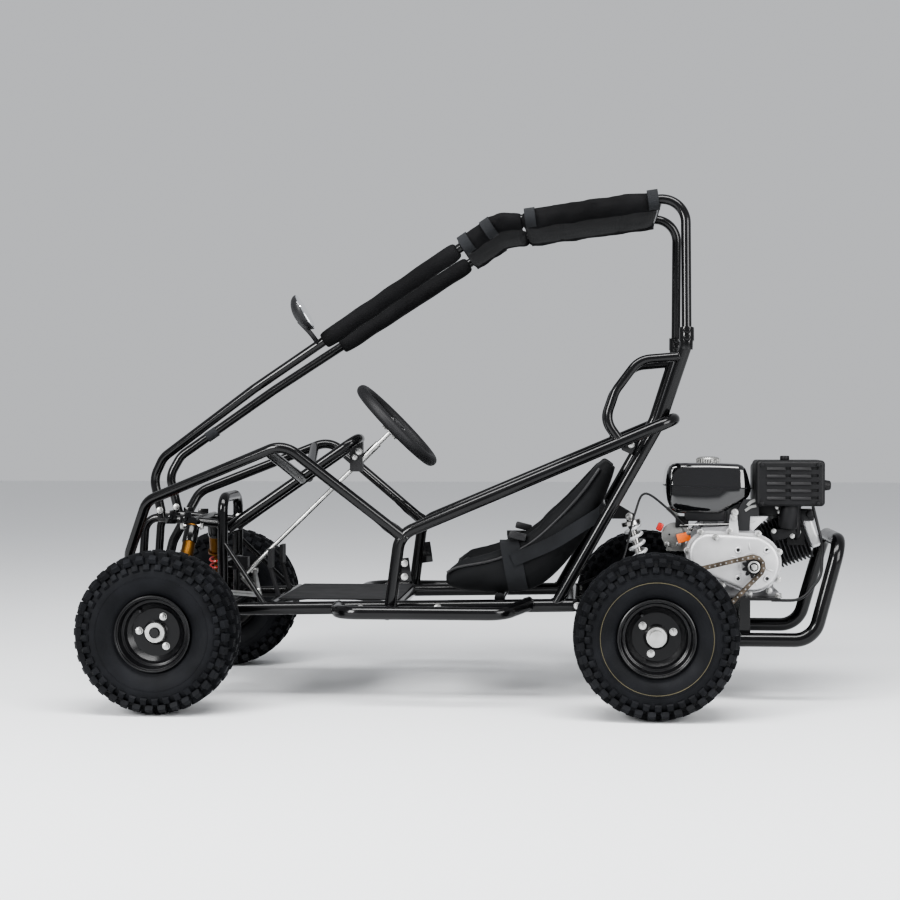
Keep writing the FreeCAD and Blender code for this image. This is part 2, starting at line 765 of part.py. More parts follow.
def tyre(label, centre, turn_share):
    """A tyre round its own axle: a bulged body, a middle band and two rows of shoulder lugs."""
    half = size("tyre_width") / 2
    foot = size("tyre_radius") - size("lug_height")
    corner = math.cos(math.pi / int(size("lug_count")))
    bead = (size("rim_radius") - size("flange_width")) / corner
    flange = (size("rim_radius") + size("seat_gap")) / corner
    half_bead = half * bead_share
    stations = [(flange, half_bead)]
    for radius_share, width_share in tyre_station_shares:
        stations.append((flange + radius_share * (foot - flange), half * width_share))
    wires = [ring_wire(radius, -y, turn_share) for radius, y in stations]
    wires += [ring_wire(radius, y, turn_share) for radius, y in stations[::-1]]
    body = Part.makeLoft(wires, True, True)
    row_width = size("lug_row_width")
    middle = lug_row(
        row_width - half, 2 * (half - row_width), foot, foot + size("middle_lug_height"), turn_share,
    )
    whole = body.fuse([
        middle,
        lug_row(
            half - row_width, row_width, foot, size("tyre_radius"), turn_share + half_lug_turn_share,
        ),
        lug_row(-half, row_width, foot, size("tyre_radius"), turn_share + half_lug_turn_share),
    ])
    through = FreeCAD.Vector(0, 2 * size("tyre_width"), 0)
    hole = Part.Face(ring_wire(bead, -size("tyre_width"), turn_share)).extrude(through)
    made = feature(label, whole.cut(hole))
    made.Placement = FreeCAD.Placement(centre, FreeCAD.Rotation())
    nodes[label] = made
    return made


def disc(label, centre, radius_alias, low_y, width, extra=""):
    """A round plate across the vehicle, from low_y beside the centre."""
    made = add("Part::Cylinder", label)
    made.setExpression("Radius", cell(radius_alias) + extra)
    made.Height = width
    made.Placement = FreeCAD.Placement(
        FreeCAD.Vector(centre.x, centre.y + low_y, centre.z), look_along(LEFT)
    )
    return made


def turned(label, centre, profile):
    """A round piece across the vehicle, turned from pairs of place along the axle and radius."""
    outline = [FreeCAD.Vector(radius, along, 0) for along, radius in profile]
    face = Part.Face(Part.makePolygon(outline + [outline[0]]))
    made = feature(label, face.revolve(FreeCAD.Vector(0, 0, 0), LEFT, 360))
    made.Placement = FreeCAD.Placement(centre, FreeCAD.Rotation())
    return made


bolt_turn_share = 0.3
wheel_bolts = 3


def rim(label, centre, outward):
    """Two flanges, bead seats and a well, a dished disc, a hub and three wheel nuts."""
    wall = size("rim_wall")
    seat = size("rim_radius") - size("flange_width") - size("seat_gap")
    well = size("rim_well_radius")
    inside = size("tyre_width") / 2 * bead_share + size("seat_gap")
    edge = inside + wall
    drop = inside - size("bead_seat_width")
    foot = drop - size("well_slope")
    outer = [
        (edge, size("rim_radius")),
        (inside, size("rim_radius")),
        (inside, seat),
        (drop, seat),
        (foot, well),
    ]
    under = [(edge, seat - wall), (drop, seat - wall), (foot, well - wall)]
    profile = outer + [(-along, radius) for along, radius in outer[::-1]]
    profile += [(-along, radius) for along, radius in under] + under[::-1]
    barrel = turned(label + "_barrel", centre, profile)
    face = edge - size("dish_depth")
    rise = size("dish_rise")
    dish = [
        (face, well - wall / 2), (face - rise, well - rise), (face - rise, 0), (face - rise - wall, 0),
        (face - rise - wall, well - rise), (face - wall, well - wall / 2),
    ]
    plate = turned(label + "_dish", centre, [(outward * along, radius) for along, radius in dish])
    plate_y = outward * (face - rise)
    low_y = min(plate_y, plate_y + outward * size("hub_stand"))
    pieces = [barrel, plate, disc(label + "_boss", centre, "hub_radius", low_y, size("hub_stand"))]
    for index in range(wheel_bolts):
        angle = (index + bolt_turn_share) * 2 * math.pi / wheel_bolts
        nut = add("Part::Prism", label + "_nut_%d" % index)
        nut.Polygon = 6
        nut.setExpression("Circumradius", cell("hub_bolt_radius"))
        nut.setExpression("Height", cell("hub_bolt_height"))
        nut.Placement = FreeCAD.Placement(
            moved(
                centre,
                forward=size("hub_bolt_circle") * math.cos(angle),
                left=plate_y,
                up=size("hub_bolt_circle") * math.sin(angle),
            ),
            look_along(LEFT * outward),
        )
        pieces.append(nut)
    return pieces, outward * (face - rise) + outward * size("hub_stand")


axle_height_share = size("tyre_radius") / size("cage_height")
front_centre = {"left": at(0, 1, axle_height_share), "right": at(0, -1, axle_height_share)}
rear_centre = {"left": at(1, 1, axle_height_share), "right": at(1, -1, axle_height_share)}
axle_mid = at(1, 0, axle_height_share)
rear_rim_pieces = []
hub_faces = {}
for side, outward in (("left", 1), ("right", -1)):
    tyre("tyre_front_" + side, front_centre[side], front_turn_share)
    tyre("tyre_rear_" + side, rear_centre[side], rear_turn_share)
    centre = front_centre[side]
    pieces, hub_faces[side] = rim("rim_front_" + side, centre, outward)
    bore = disc(
        "rim_front_bore_" + side, centre, "stub_radius",
        -size("tyre_width"), 2 * size("tyre_width"), " + " + cell("running_gap"),
    )
    node("rim_front_" + side, pieces, also_cut=[bore])
    pieces, hub_end = rim("rim_rear_" + side, rear_centre[side], outward)
    rear_rim_pieces.append(fused("rim_rear_all_" + side, pieces))
axle_half = size("half_track") + abs(hub_faces["left"]) + size("axle_overhang")
axle_bore = disc(
    "axle_bore",
    axle_mid,
    "axle_radius",
    -axle_half - size("cut_overrun"),
    2 * (axle_half + size("cut_overrun")),
)
axle_shaft = disc("axle_shaft_bar", axle_mid, "axle_radius", -axle_half, 2 * axle_half)
node("rear_rims", rear_rim_pieces, also_cut=[axle_bore])
node("axle_shaft", [axle_shaft])

# front knuckles: kingpin tube, stub axle and steering arm
knuckle_arm = at(0.0793, 0.6895, 0.207)
arm_root_share = 0.15
for side, outward in (("left", 1), ("right", -1)):
    pin = spots["kingpin"] if outward > 0 else other_side(spots["kingpin"])
    arm_end = knuckle_arm if outward > 0 else other_side(knuckle_arm)
    half_height = size("knuckle_height") / 2
    overrun = size("cut_overrun")
    post = rod(
        "knuckle_post_" + side,
        moved(pin, up=-half_height),
        moved(pin, up=half_height),
        "knuckle_radius",
    )
    stub_end = moved(front_centre[side], left=hub_faces[side])
    stub = rod("stub_" + side, pin, stub_end, "stub_radius")
    arm_start = moved(pin, up=arm_root_share * size("knuckle_height"))
    arm = rod("steer_arm_" + side, arm_start, arm_end, "kingpin_radius")
    hole = rod(
        "kingpin_hole_" + side,
        moved(pin, up=-half_height - overrun),
        moved(pin, up=half_height + overrun),
        "kingpin_radius", " + " + cell("running_gap"),
    )
    node("knuckle_" + side, [post, stub, arm], also_cut=[hole])

# front arms: two tubes to a bracket whose lugs hold the kingpin
arm_roots = [at(-0.0959, 0.2, 0.1861), at(0.0737, 0.3947, 0.18)]
lug_front_share = 0.7
front_arm_parts = []
for side, outward in (("left", 1), ("right", -1)):
    pin = spots["kingpin"] if outward > 0 else other_side(spots["kingpin"])
    half_height = size("knuckle_height") / 2 + size("free_gap")
    lug = size("pin_lug_thickness")
    lug_half = size("pin_lug_width") / 2
    inner_y = pin.y - outward * size("pin_lug_reach")
    plate_far = inner_y + outward * lug
    front_arm_parts.append(
        block(
            "pin_plate_" + side,
            FreeCAD.Vector(pin.x - lug / 2, min(inner_y, plate_far), pin.z - half_height - lug),
            FreeCAD.Vector(pin.x + lug_half, max(inner_y, plate_far), pin.z + half_height + lug),
        )
    )
    lug_y = sorted((inner_y, pin.y + outward * lug_half * lug_front_share))
    for level, low_z in (("low", pin.z - half_height - lug), ("high", pin.z + half_height)):
        front_arm_parts.append(
            block(
                "pin_lug_%s_%s" % (level, side),
                FreeCAD.Vector(pin.x - lug_half, lug_y[0], low_z),
                FreeCAD.Vector(pin.x + lug_half, lug_y[1], low_z + lug),
            )
        )
    front_arm_parts.append(
        rod(
            "kingpin_" + side,
            moved(pin, up=-half_height - lug),
            moved(pin, up=half_height + lug),
            "kingpin_radius",
        )
    )
    tip = FreeCAD.Vector(pin.x + lug_half / 2, inner_y + outward * lug / 4, pin.z - half_height / 2)
    for number, root in enumerate(arm_roots):
        start = root if outward > 0 else other_side(root)
        front_arm_parts.append(
            tube("wishbone_%d_%s" % (number, side), [start, tip], "loop_tube_radius")
        )
node("front_arms", front_arm_parts, sides("nose_rail", "floor_rail") + ["cross_0", "nose_bar"])

# dampers: a body and a rod with a cup at each end of the coil
coil_places_per_turn = 8


def coil(label, start, end, outer_alias, wire_alias, turns):
    """A coil spring of round wire from start to end, as one bent bar."""
    line = end - start
    rise = line.Length - 2 * size(wire_alias)
    line.normalize()
    turn = look_along(line)
    radius = size(outer_alias) - size(wire_alias)
    places = []
    count = int(turns * coil_places_per_turn)
    for index in range(count + 1):
        angle = 2 * math.pi * index / coil_places_per_turn
        flat = FreeCAD.Vector(radius * math.cos(angle), radius * math.sin(angle), 0)
        places.append(start + turn.multVec(flat) + line * (size(wire_alias) + rise * index / count))
    return swept(label, bent_path(places, radius), wire_alias)


front_body_share = 0.36
front_cup_share = 0.9
rear_cup_shares = (0.08, 0.14)
rear_seat_shares = (0.84, 0.9)
front_dampers = []
front_springs = []
for side, outward in (("left", 1), ("right", -1)):
    top = spots["shock_top"] if outward > 0 else other_side(spots["shock_top"])
    foot = spots["shock_foot"] if outward > 0 else other_side(spots["shock_foot"])
    length = (foot - top).Length
    line = (foot - top).normalize()
    body_end = between(top, foot, front_body_share)
    cup_start = between(top, foot, front_cup_share)
    collar = size("cup_thickness")
    front_dampers.append(
        fused(
            "front_damper_" + side,
            [
                rod("front_damper_body_" + side, top, body_end, "damper_radius"),
                rod("front_damper_rod_" + side, top, foot, "damper_rod_radius"),
                rod("front_damper_collar_" + side, body_end - line * collar, body_end, "spring_radius"),
                rod("front_damper_cup_" + side, cup_start, cup_start + line * collar, "spring_radius"),
            ],
        )
    )
    gap = line * size("seat_gap")
    front_springs.append(
        coil(
            "front_coil_" + side,
            body_end + gap,
            cup_start - gap,
            "spring_radius",
            "spring_wire_radius",
            size("front_coil_turns"),
        )
    )
wishbones = [
    "wishbone_%d_%s" % (number, side) for number in range(len(arm_roots)) for side in ("left", "right")
]
node("front_dampers", front_dampers, ["shock_bar"] + wishbones + sides("nose_rail"))
node("front_springs", front_springs)

top = spots["damper_top"]
foot = spots["damper_foot"]
eye_half = at(0, damper_ear_shares[0], 0).y - size("seat_gap")
cup = [between(top, foot, share) for share in rear_cup_shares]
seat_cup = [between(top, foot, share) for share in rear_seat_shares]
rear_damper = fused(
    "rear_damper_all",
    [
        rod("rear_eye_top", moved(top, left=-eye_half), moved(top, left=eye_half), "loop_tube_radius"),
        rod(
            "rear_eye_foot", moved(foot, left=-eye_half), moved(foot, left=eye_half), "loop_tube_radius",
        ),
        rod("rear_damper_rod", top, foot, "rear_rod_radius"),
        rod("rear_damper_cup", cup[0], cup[1], "rear_spring_radius"),
        rod("rear_damper_seat", seat_cup[0], seat_cup[1], "rear_spring_radius"),
    ],
)
node("rear_damper", [rear_damper], ["damper_bar", "carrier_bar"])
gap = (foot - top).normalize() * size("seat_gap")
rear_coil = coil(
    "rear_coil",
    cup[1] + gap,
    seat_cup[0] - gap,
    "rear_spring_radius",
    "rear_wire_radius",
    size("rear_coil_turns"),
)
node("rear_spring", [rear_coil])

# pedals on the first cross member: a lever with a plate that faces the driver
pedals = []
for number, left_share in enumerate((-0.2, 0.2)):
    base = at(0.1982, left_share, 0.1852)
    head = at(0.1742, left_share, 0.2617)
    pad_low = moved(at(0.1817, left_share, 0.2548), left=-size("pedal_width") / 2)
    pad_high = moved(at(0.1743, left_share, 0.293), left=size("pedal_width") / 2)
    pedals.append(
        fused(
            "pedal_%d" % number,
            [
                rod("pedal_arm_%d" % number, base, head, "rod_radius"),
                block("pedal_pad_%d" % number, pad_low, pad_high),
            ],
        )
    )
node("pedals", pedals, ["cross_1"])

# steering: shaft, sleeve and drop arm on one body, with the wheel on its head
shaft_foot = spots["column_foot"]
shaft_head = spots["column_head"]
shaft_line = (shaft_head - shaft_foot).normalize()
drop_line = FreeCAD.Vector(-shaft_line.z, 0, shaft_line.x)
drop_end = shaft_foot + drop_line * size("pitman_length")
half_drop = shaft_line * (size("drop_arm_thickness") / 2)
sleeve_shares = (0.72, 0.88)
sleeve = [between(shaft_foot, shaft_head, share) for share in sleeve_shares]
drop_plate = add("Part::Box", "drop_plate")
drop_plate.setExpression("Length", cell("pitman_length"))
drop_plate.setExpression("Width", cell("drop_arm_width"))
drop_plate.setExpression("Height", cell("drop_arm_thickness"))
drop_plate.Placement = FreeCAD.Placement(
    shaft_foot - half_drop - LEFT * (size("drop_arm_width") / 2),
    FreeCAD.Rotation(drop_line, LEFT, shaft_line, "XYZ"),
)
drop_tip = add("Part::Sphere", "drop_tip")
drop_tip.setExpression("Radius", cell("tie_ball_radius"))
drop_tip.Placement = FreeCAD.Placement(drop_end, FreeCAD.Rotation())
shaft_pieces = [
    rod("shaft_bar", shaft_foot - half_drop, shaft_head, "column_radius"),
    rod("shaft_sleeve", sleeve[0], sleeve[1], "column_sleeve_radius"),
    rod("drop_boss", shaft_foot - half_drop, shaft_foot + half_drop, "drop_boss_radius"),
    drop_tip,
    drop_plate,
]
node("steering_column", shaft_pieces)

ring_axis = look_along(shaft_line)
grip = add("Part::Torus", "grip")
grip.setExpression("Radius1", cell("wheel_ring_radius"))
grip.setExpression("Radius2", cell("wheel_grip_radius"))
grip.Placement = FreeCAD.Placement(shaft_head, ring_axis)
hub_low = shaft_head - shaft_line * size("wheel_hub_thickness")
hub_middle = between(hub_low, shaft_head, 1 / 2)
wheel_parts = [grip, rod("wheel_plate", hub_low, shaft_head, "wheel_hub_radius")]
spoke_count = 3
quarter_turn = math.pi / 2
for index in range(spoke_count):
    angle = quarter_turn + 2 * math.pi * index / spoke_count
    outward_line = ring_axis.multVec(FreeCAD.Vector(math.cos(angle), math.sin(angle), 0))
    wheel_parts.append(
        rod(
            "spoke_%d" % index,
            hub_middle,
            hub_middle + outward_line * size("wheel_ring_radius"),
            "spoke_radius",
        )
    )
wheel_hole = rod(
    "wheel_hole", shaft_foot, shaft_head + shaft_line * size("cut_overrun"), "column_radius",
)
node("steering_wheel", wheel_parts, also_cut=[wheel_hole])

# bushes that hold the shaft: one under the hoop, one under the lower column bar
low_bush_share = 0.3
bore_foot = shaft_foot - shaft_line * size("pitman_length")
play = " + " + cell("running_gap")
shaft_bore = rod("shaft_bore", bore_foot, shaft_head, "column_sleeve_radius", play)
shaft_bore_low = rod(
    "shaft_bore_low", bore_foot, between(shaft_foot, shaft_head, low_bush_share), "column_radius", play,
)
high_bush = block("high_bush", at(0.3705, -0.0342, 0.4504), at(0.3429, 0.0342, 0.5191))
low_bush = block("low_bush", at(0.1143, -0.0342, 0.2452), at(0.0793, 0.0342, 0.2713))
node(
    "steering_bushes",
    [
        cut("high_bush_bored", high_bush, [shaft_bore]),
        cut("low_bush_bored", low_bush, [shaft_bore_low]),
    ],
    ["hoop", "column_bar"],
)

# tie rods from the knuckle arms to the drop arm
eye_height = 2 * size("tie_rod_radius")
eye_seat = size("kingpin_radius") + size("rod_eye_gap") + eye_height / 2
for side, outward in (("left", 1), ("right", -1)):
    arm_end = knuckle_arm if outward > 0 else other_side(knuckle_arm)
    outer = moved(arm_end, up=eye_seat)
    inner = moved(drop_end, left=outward * size("tie_end_offset"), up=-size("tie_end_drop"))
    ball = add("Part::Sphere", "tie_ball_" + side)
    ball.setExpression("Radius", cell("tie_ball_radius"))
    ball.Placement = FreeCAD.Placement(inner, FreeCAD.Rotation())
    eye = rod(
        "tie_eye_" + side,
        moved(outer, up=-eye_height / 2),
        moved(outer, up=eye_height / 2),
        "tie_eye_radius",
    )
    node("tie_rod_" + side, [rod("tie_bar_" + side, outer, inner, "tie_rod_radius"), ball, eye])

# live rear axle: bearing carriers on the rails, sprocket and brake disc
carriers = []
rail_y = at(0, subframe_share, 0).y
for side, outward in (("left", 1), ("right", -1)):
    low_y = outward * rail_y - size("carrier_length") / 2
    high_y = outward * rail_y + size("carrier_length") / 2
    carriers.append(disc("carrier_" + side, axle_mid, "carrier_radius", low_y, size("carrier_length")))
    post_low = moved(at(1.0184, 0, 0.1287), left=low_y)
    post_high = moved(at(0.9816, 0, 0.2087), left=high_y)
    carriers.append(block("carrier_post_" + side, post_low, post_high))
carrier_bore = disc(
    "carrier_bore", axle_mid, "axle_radius", -size("half_track"), 2 * size("half_track"), play,
)
for number, left_share in enumerate(damper_ear_shares):
    low = at(1.0055, left_share, 0.1983)
    high = moved(at(0.9816, left_share, 0.2383), left=size("ear_thickness"))
    carriers.append(block("foot_ear_%d" % number, low, high))
node("axle_carriers", carriers + [carrier_bar], sides("subframe_rail"), also_cut=[carrier_bore])

sprocket_y = spots["output_shaft"].y
half_sprocket = size("sprocket_thickness") / 2
boss_half = size("boss_length") / 2
tooth_tip_share = 0.35
tooth_root_share = 0.45
tooth_shares = ((0, -tooth_root_share), (0.35, tooth_tip_share), (0.65, tooth_tip_share))


def pitch_radius(teeth):
    """Radius of a chain wheel to the middle of its chain."""
    return size("chain_pitch") / (2 * math.sin(math.pi / teeth))


def toothed(label, centre, teeth, bore):
    """A chain wheel: a polygon of tooth tips and gaps, as thick as its plate."""
    outline = []
    for index in range(teeth):
        for share, height_share in tooth_shares:
            radius = pitch_radius(teeth) + size("chain_height") * height_share
            angle = (index + share) * 2 * math.pi / teeth
            outline.append(FreeCAD.Vector(radius * math.cos(angle), 0, radius * math.sin(angle)))
    hole = Part.Wire(Part.makeCircle(bore, FreeCAD.Vector(0, 0, 0), LEFT))
    face = Part.Face([Part.makePolygon(outline + [outline[0]]), hole])
    made = feature(label, face.extrude(FreeCAD.Vector(0, size("sprocket_thickness"), 0)))
    made.Placement = FreeCAD.Placement(
        FreeCAD.Vector(centre.x, sprocket_y - half_sprocket, centre.z), FreeCAD.Rotation()
    )
    return made


lightening_count = 6
lightening_share = 0.62
axle_teeth = int(size("axle_teeth"))
engine_teeth = int(size("engine_teeth"))
axle_sprocket = toothed("axle_sprocket_wheel", axle_mid, axle_teeth, size("axle_radius"))
sprocket_boss = disc("sprocket_boss", axle_mid, "hub_radius", sprocket_y - boss_half, 2 * boss_half)
boss_hole = disc(
    "sprocket_boss_hole", axle_mid, "axle_radius", sprocket_y - 2 * boss_half, 4 * boss_half,
)
lightening = []
for index in range(lightening_count):
    angle = 2 * math.pi * index / lightening_count
    reach = lightening_share * pitch_radius(axle_teeth)
    place = moved(axle_mid, forward=reach * math.cos(angle), up=reach * math.sin(angle))
    lightening.append(
        disc("lightening_%d" % index, place, "lightening_radius", sprocket_y - boss_half, 2 * boss_half)
    )
node("axle_sprocket", [axle_sprocket, sprocket_boss], also_cut=[boss_hole] + lightening)

brake_plate = disc(
    "brake_plate",
    axle_mid,
    "disc_radius",
    -sprocket_y - size("disc_thickness") / 2,
    size("disc_thickness"),
)
brake_boss = disc("brake_boss", axle_mid, "hub_radius", -sprocket_y - boss_half, 2 * boss_half)
brake_hole = disc("brake_hole", axle_mid, "axle_radius", -sprocket_y - 2 * boss_half, 4 * boss_half)
disc_holes = []
disc_hole_count = 12
disc_hole_share = 0.78
for index in range(disc_hole_count):
    angle = 2 * math.pi * index / disc_hole_count
    reach = disc_hole_share * size("disc_radius")
    place = moved(axle_mid, forward=reach * math.cos(angle), up=reach * math.sin(angle))
    disc_holes.append(
        disc(
            "disc_hole_%d" % index,
            place,
            "disc_hole_radius",
            -sprocket_y - size("disc_thickness"),
            2 * size("disc_thickness"),
        )
    )
node("brake_disc", [brake_plate, brake_boss], also_cut=[brake_hole] + disc_holes)

# brake caliper: a block astride the disc, on a plate bolted to the right carrier
caliper_low_y = -sprocket_y - size("caliper_width") / 2
caliper_high_y = -rail_y - size("carrier_length") / 2 - size("seat_gap")
bracket_low_y = caliper_high_y - size("ear_thickness")
slot_half = size("disc_thickness") / 2 + size("free_gap")
low_z = axle_mid.z + size("caliper_foot")
high_z = low_z + size("caliper_height")
front_x = axle_mid.x + size("caliper_reach")
back_x = front_x - size("caliper_length")
caliper_body = block(
    "caliper_body",
    FreeCAD.Vector(back_x, caliper_low_y, low_z),
    FreeCAD.Vector(front_x, caliper_high_y, high_z),
)
caliper_plate = block(
    "caliper_plate",
    FreeCAD.Vector(axle_mid.x - size("axle_radius"), bracket_low_y, low_z + size("bracket_inset")),
    FreeCAD.Vector(front_x - size("bracket_inset"), caliper_high_y, high_z - size("bracket_inset")),
)
caliper_slot = block(
    "caliper_slot",
    FreeCAD.Vector(axle_mid.x, -sprocket_y - slot_half, low_z - size("cut_overrun")),
    FreeCAD.Vector(
        axle_mid.x + size("disc_radius") + size("free_gap"),
        -sprocket_y + slot_half,
        high_z + size("cut_overrun"),
    ),
)
node("brake_caliper", [caliper_body, caliper_plate], also_cut=[caliper_slot])

# chain: two straight runs and two arcs round the sprockets, as side plates with rollers on the runs
small = spots["output_shaft"]
big = FreeCAD.Vector(axle_mid.x, sprocket_y, axle_mid.z)


def rim_point(centre, radius, angle):
    return FreeCAD.Vector(
        centre.x + radius * math.cos(angle), centre.y, centre.z + radius * math.sin(angle),
    )


def belt_points(one, one_radius, other, other_radius):
    """Tangent points and far points of a belt round two circles, over side first."""
    line = other - one
    lean = math.asin((one_radius - other_radius) / math.hypot(line.x, line.z))
    heading = math.atan2(line.z, line.x)
    over = heading + quarter_turn - lean
    under = heading - quarter_turn + lean
    return [
        rim_point(one, one_radius, over),
        rim_point(other, other_radius, over),
        rim_point(other, other_radius, heading),
        rim_point(other, other_radius, under),
        rim_point(one, one_radius, under),
        rim_point(one, one_radius, heading + math.pi),
    ]


def belt_wire(one, one_radius, other, other_radius):
    """An outline round two circles and along their two common tangents."""
    points = belt_points(one, one_radius, other, other_radius)
    over_one, over_other, far_other, under_other, under_one, far_one = points
    return Part.Wire([
        Part.LineSegment(over_one, over_other).toShape(),
        Part.Arc(over_other, far_other, under_other).toShape(),
        Part.LineSegment(under_other, under_one).toShape(),
        Part.Arc(under_one, far_one, over_one).toShape(),
    ])


def chain_side(label, low_y, width):
    """The link plates of one side, as one band round both sprockets."""
    wires = []
    for offset in (size("chain_height") / 2, -size("chain_height") / 2):
        wires.append(
            belt_wire(
                big, pitch_radius(axle_teeth) + offset, small, pitch_radius(engine_teeth) + offset,
            ),
        )
    face = Part.Face(wires[0]).cut(Part.Face(wires[1]))
    made = feature(label, face.extrude(FreeCAD.Vector(0, width, 0)))
    made.Placement = FreeCAD.Placement(FreeCAD.Vector(0, low_y, 0), FreeCAD.Rotation())
    return made


plate_width = (size("chain_width") - size("sprocket_thickness")) / 2 - size("seat_gap")
plate_low = half_sprocket + size("seat_gap")
runs = belt_points(big, pitch_radius(axle_teeth), small, pitch_radius(engine_teeth))
chain_pieces = [
    chain_side("chain_left", plate_low, plate_width),
    chain_side("chain_right", -plate_low - plate_width, plate_width),
]
tip_rise = size("chain_height") * tooth_tip_share + size("chain_roller_radius") + size("seat_gap")
for name, start, end in (("over", runs[0], runs[1]), ("under", runs[4], runs[3])):
    count = int((end - start).Length / size("chain_pitch"))
    for index in range(count + 1):
        place = between(start, end, index / count)
        clear_of_big = (place - big).Length > pitch_radius(axle_teeth) + tip_rise
        clear_of_small = (place - small).Length > pitch_radius(engine_teeth) + tip_rise
        if clear_of_big and clear_of_small:
            left_end = moved(place, left=plate_low + plate_width / 2)
            right_end = moved(place, left=-plate_low - plate_width / 2)
            roller = rod("roller_%s_%d" % (name, index), right_end, left_end, "chain_roller_radius")
            chain_pieces.append(roller)
node("drive_chain", chain_pieces)

engine_wheel = toothed("drive_wheel", small, engine_teeth, size("output_radius"))
output_bar = rod(
    "output_bar",
    moved(small, left=-size("output_length")),
    moved(small, left=size("output_stand")),
    "output_radius",
)
node("drive_sprocket", [engine_wheel, output_bar])

# engine: crankcase, output gear cover, finned cylinder and head cover
cover_face = sprocket_y - size("cover_to_sprocket")
cover_back = cover_face - size("gear_cover_thickness")
case_low_y = cover_back - size("engine_width") * case_width_share


case = side_plate(
    "case_body",
    side_outline([
        at(1.0876, 0, 0.2052), at(1.0802, 0, 0.287), at(1.106, 0, 0.3409),
        at(1.1982, 0, 0.3461), at(1.2461, 0, 0.313),
        at(1.259, 0, 0.2609), at(1.2553, 0, 0.2052),
    ]),
    case_low_y, cover_back - case_low_y,
)
case_foot = block(
    "case_foot", at(1.2682, 0, 0.2052) + LEFT * case_low_y, at(1.0747, 0, 0.2139) + LEFT * cover_back,
)
tank_stays = [
    block("tank_stay_0", at(1.1945, -0.1579, 0.3435), at(1.1631, 0.1579, 0.393)),
    block("tank_stay_1", at(1.1429, -0.1579, 0.3409), at(1.1115, 0.1579, 0.3684)),
]
node("engine_case", [case, case_foot] + tank_stays)

# the cover follows two circles: one round the output shaft, one round the gear behind it
output_centre = FreeCAD.Vector(small.x, 0, small.z + size("cover_lift"))
gear_centre = FreeCAD.Vector(at(1.1198, 0, 0).x, 0, at(0, 0, 0.2913).z)
cover_wire = belt_wire(output_centre, size("cover_radius"), gear_centre, size("cover_gear_radius"))
flange_wire = belt_wire(
    output_centre,
    size("cover_radius") + size("cover_flange"),
    gear_centre,
    size("cover_gear_radius") + size("cover_flange"),
)
cover_body = side_plate("cover_body", cover_wire, cover_back, size("gear_cover_thickness"))
doc.recompute()
rounded_cover = add("Part::Fillet", "cover_rounded")
rounded_cover.Base = cover_body
outer_edges = [
    number + 1 for number, edge in enumerate(cover_body.Shape.Edges)
    if abs(edge.BoundBox.YMin - cover_face) < size("weld_gap")
    and edge.BoundBox.YLength < size("weld_gap")
]
rounded_cover.Edges = [(number, size("cover_round"), size("cover_round")) for number in outer_edges]
cover_flange = side_plate("cover_flange", flange_wire, cover_back, size("cover_flange_thickness"))
lug_root = output_centre.z + size("cover_gear_radius") / 2
tank_lug = side_plate(
    "tank_lug",
    side_outline([
        FreeCAD.Vector(at(1.1557, 0, 0).x, 0, lug_root),
        at(1.1659, 0, 0.3678),
        at(1.1797, 0, 0.3678),
        FreeCAD.Vector(at(1.1871, 0, 0).x, 0, lug_root),
    ]),
    cover_back, size("cover_flange_thickness"),
)
cover_boss = disc(
    "cover_boss",
    small,
    "cover_boss_radius",
    cover_face - small.y - size("cut_overrun"),
    size("cover_boss_height") + size("cut_overrun"),
)
shaft_clear = rod(
    "shaft_clear",
    moved(small, left=-size("output_length") - size("cut_overrun")),
    moved(small, left=size("output_stand")),
    "output_radius", " + " + cell("free_gap"),
)
cover_holes = []
half_pitch = size("cover_hole_pitch") / 2
for number, (ahead, above) in enumerate(((1, 1), (1, -1), (-1, 1), (-1, -1))):
    mouth = FreeCAD.Vector(small.x + ahead * half_pitch, cover_face, small.z + above * half_pitch)
    cover_holes.append(
        rod(
            "cover_hole_%d" % number,
            moved(mouth, left=-size("cover_hole_depth")),
            moved(mouth, left=size("cut_overrun")),
            "cover_hole_radius",
        )
    )
node(
    "gear_cover",
    [rounded_cover, cover_flange, tank_lug, cover_boss],
    also_cut=[shaft_clear] + cover_holes,
)

cylinder_root = at(1.2461, -0.0526, 0.2957)
cylinder_tip = at(1.3327, -0.0526, 0.3252)
cylinder_length = (cylinder_tip - cylinder_root).Length
cylinder_line = (cylinder_tip - cylinder_root).normalize()
cylinder_turn = FreeCAD.Rotation(cylinder_line, LEFT, FreeCAD.Vector(0, 0, 0), "XYZ")
first_fin_share = 0.6


def tilted_box(label, start_along, length, width, height):
    """A box on the cylinder's own axis."""
    made = add("Part::Box", label)
    made.Length = length
    made.Width = width
    made.Height = height
    corner = FreeCAD.Vector(start_along, -width / 2, -height / 2)
    made.Placement = FreeCAD.Placement(cylinder_root + cylinder_turn.multVec(corner), cylinder_turn)
    return made


def softened(label, base, radius):
    """The same box with every edge rounded."""
    doc.recompute()
    made = add("Part::Fillet", label)
    made.Base = base
    made.Edges = [(number + 1, radius, radius) for number in range(len(base.Shape.Edges))]
    return made


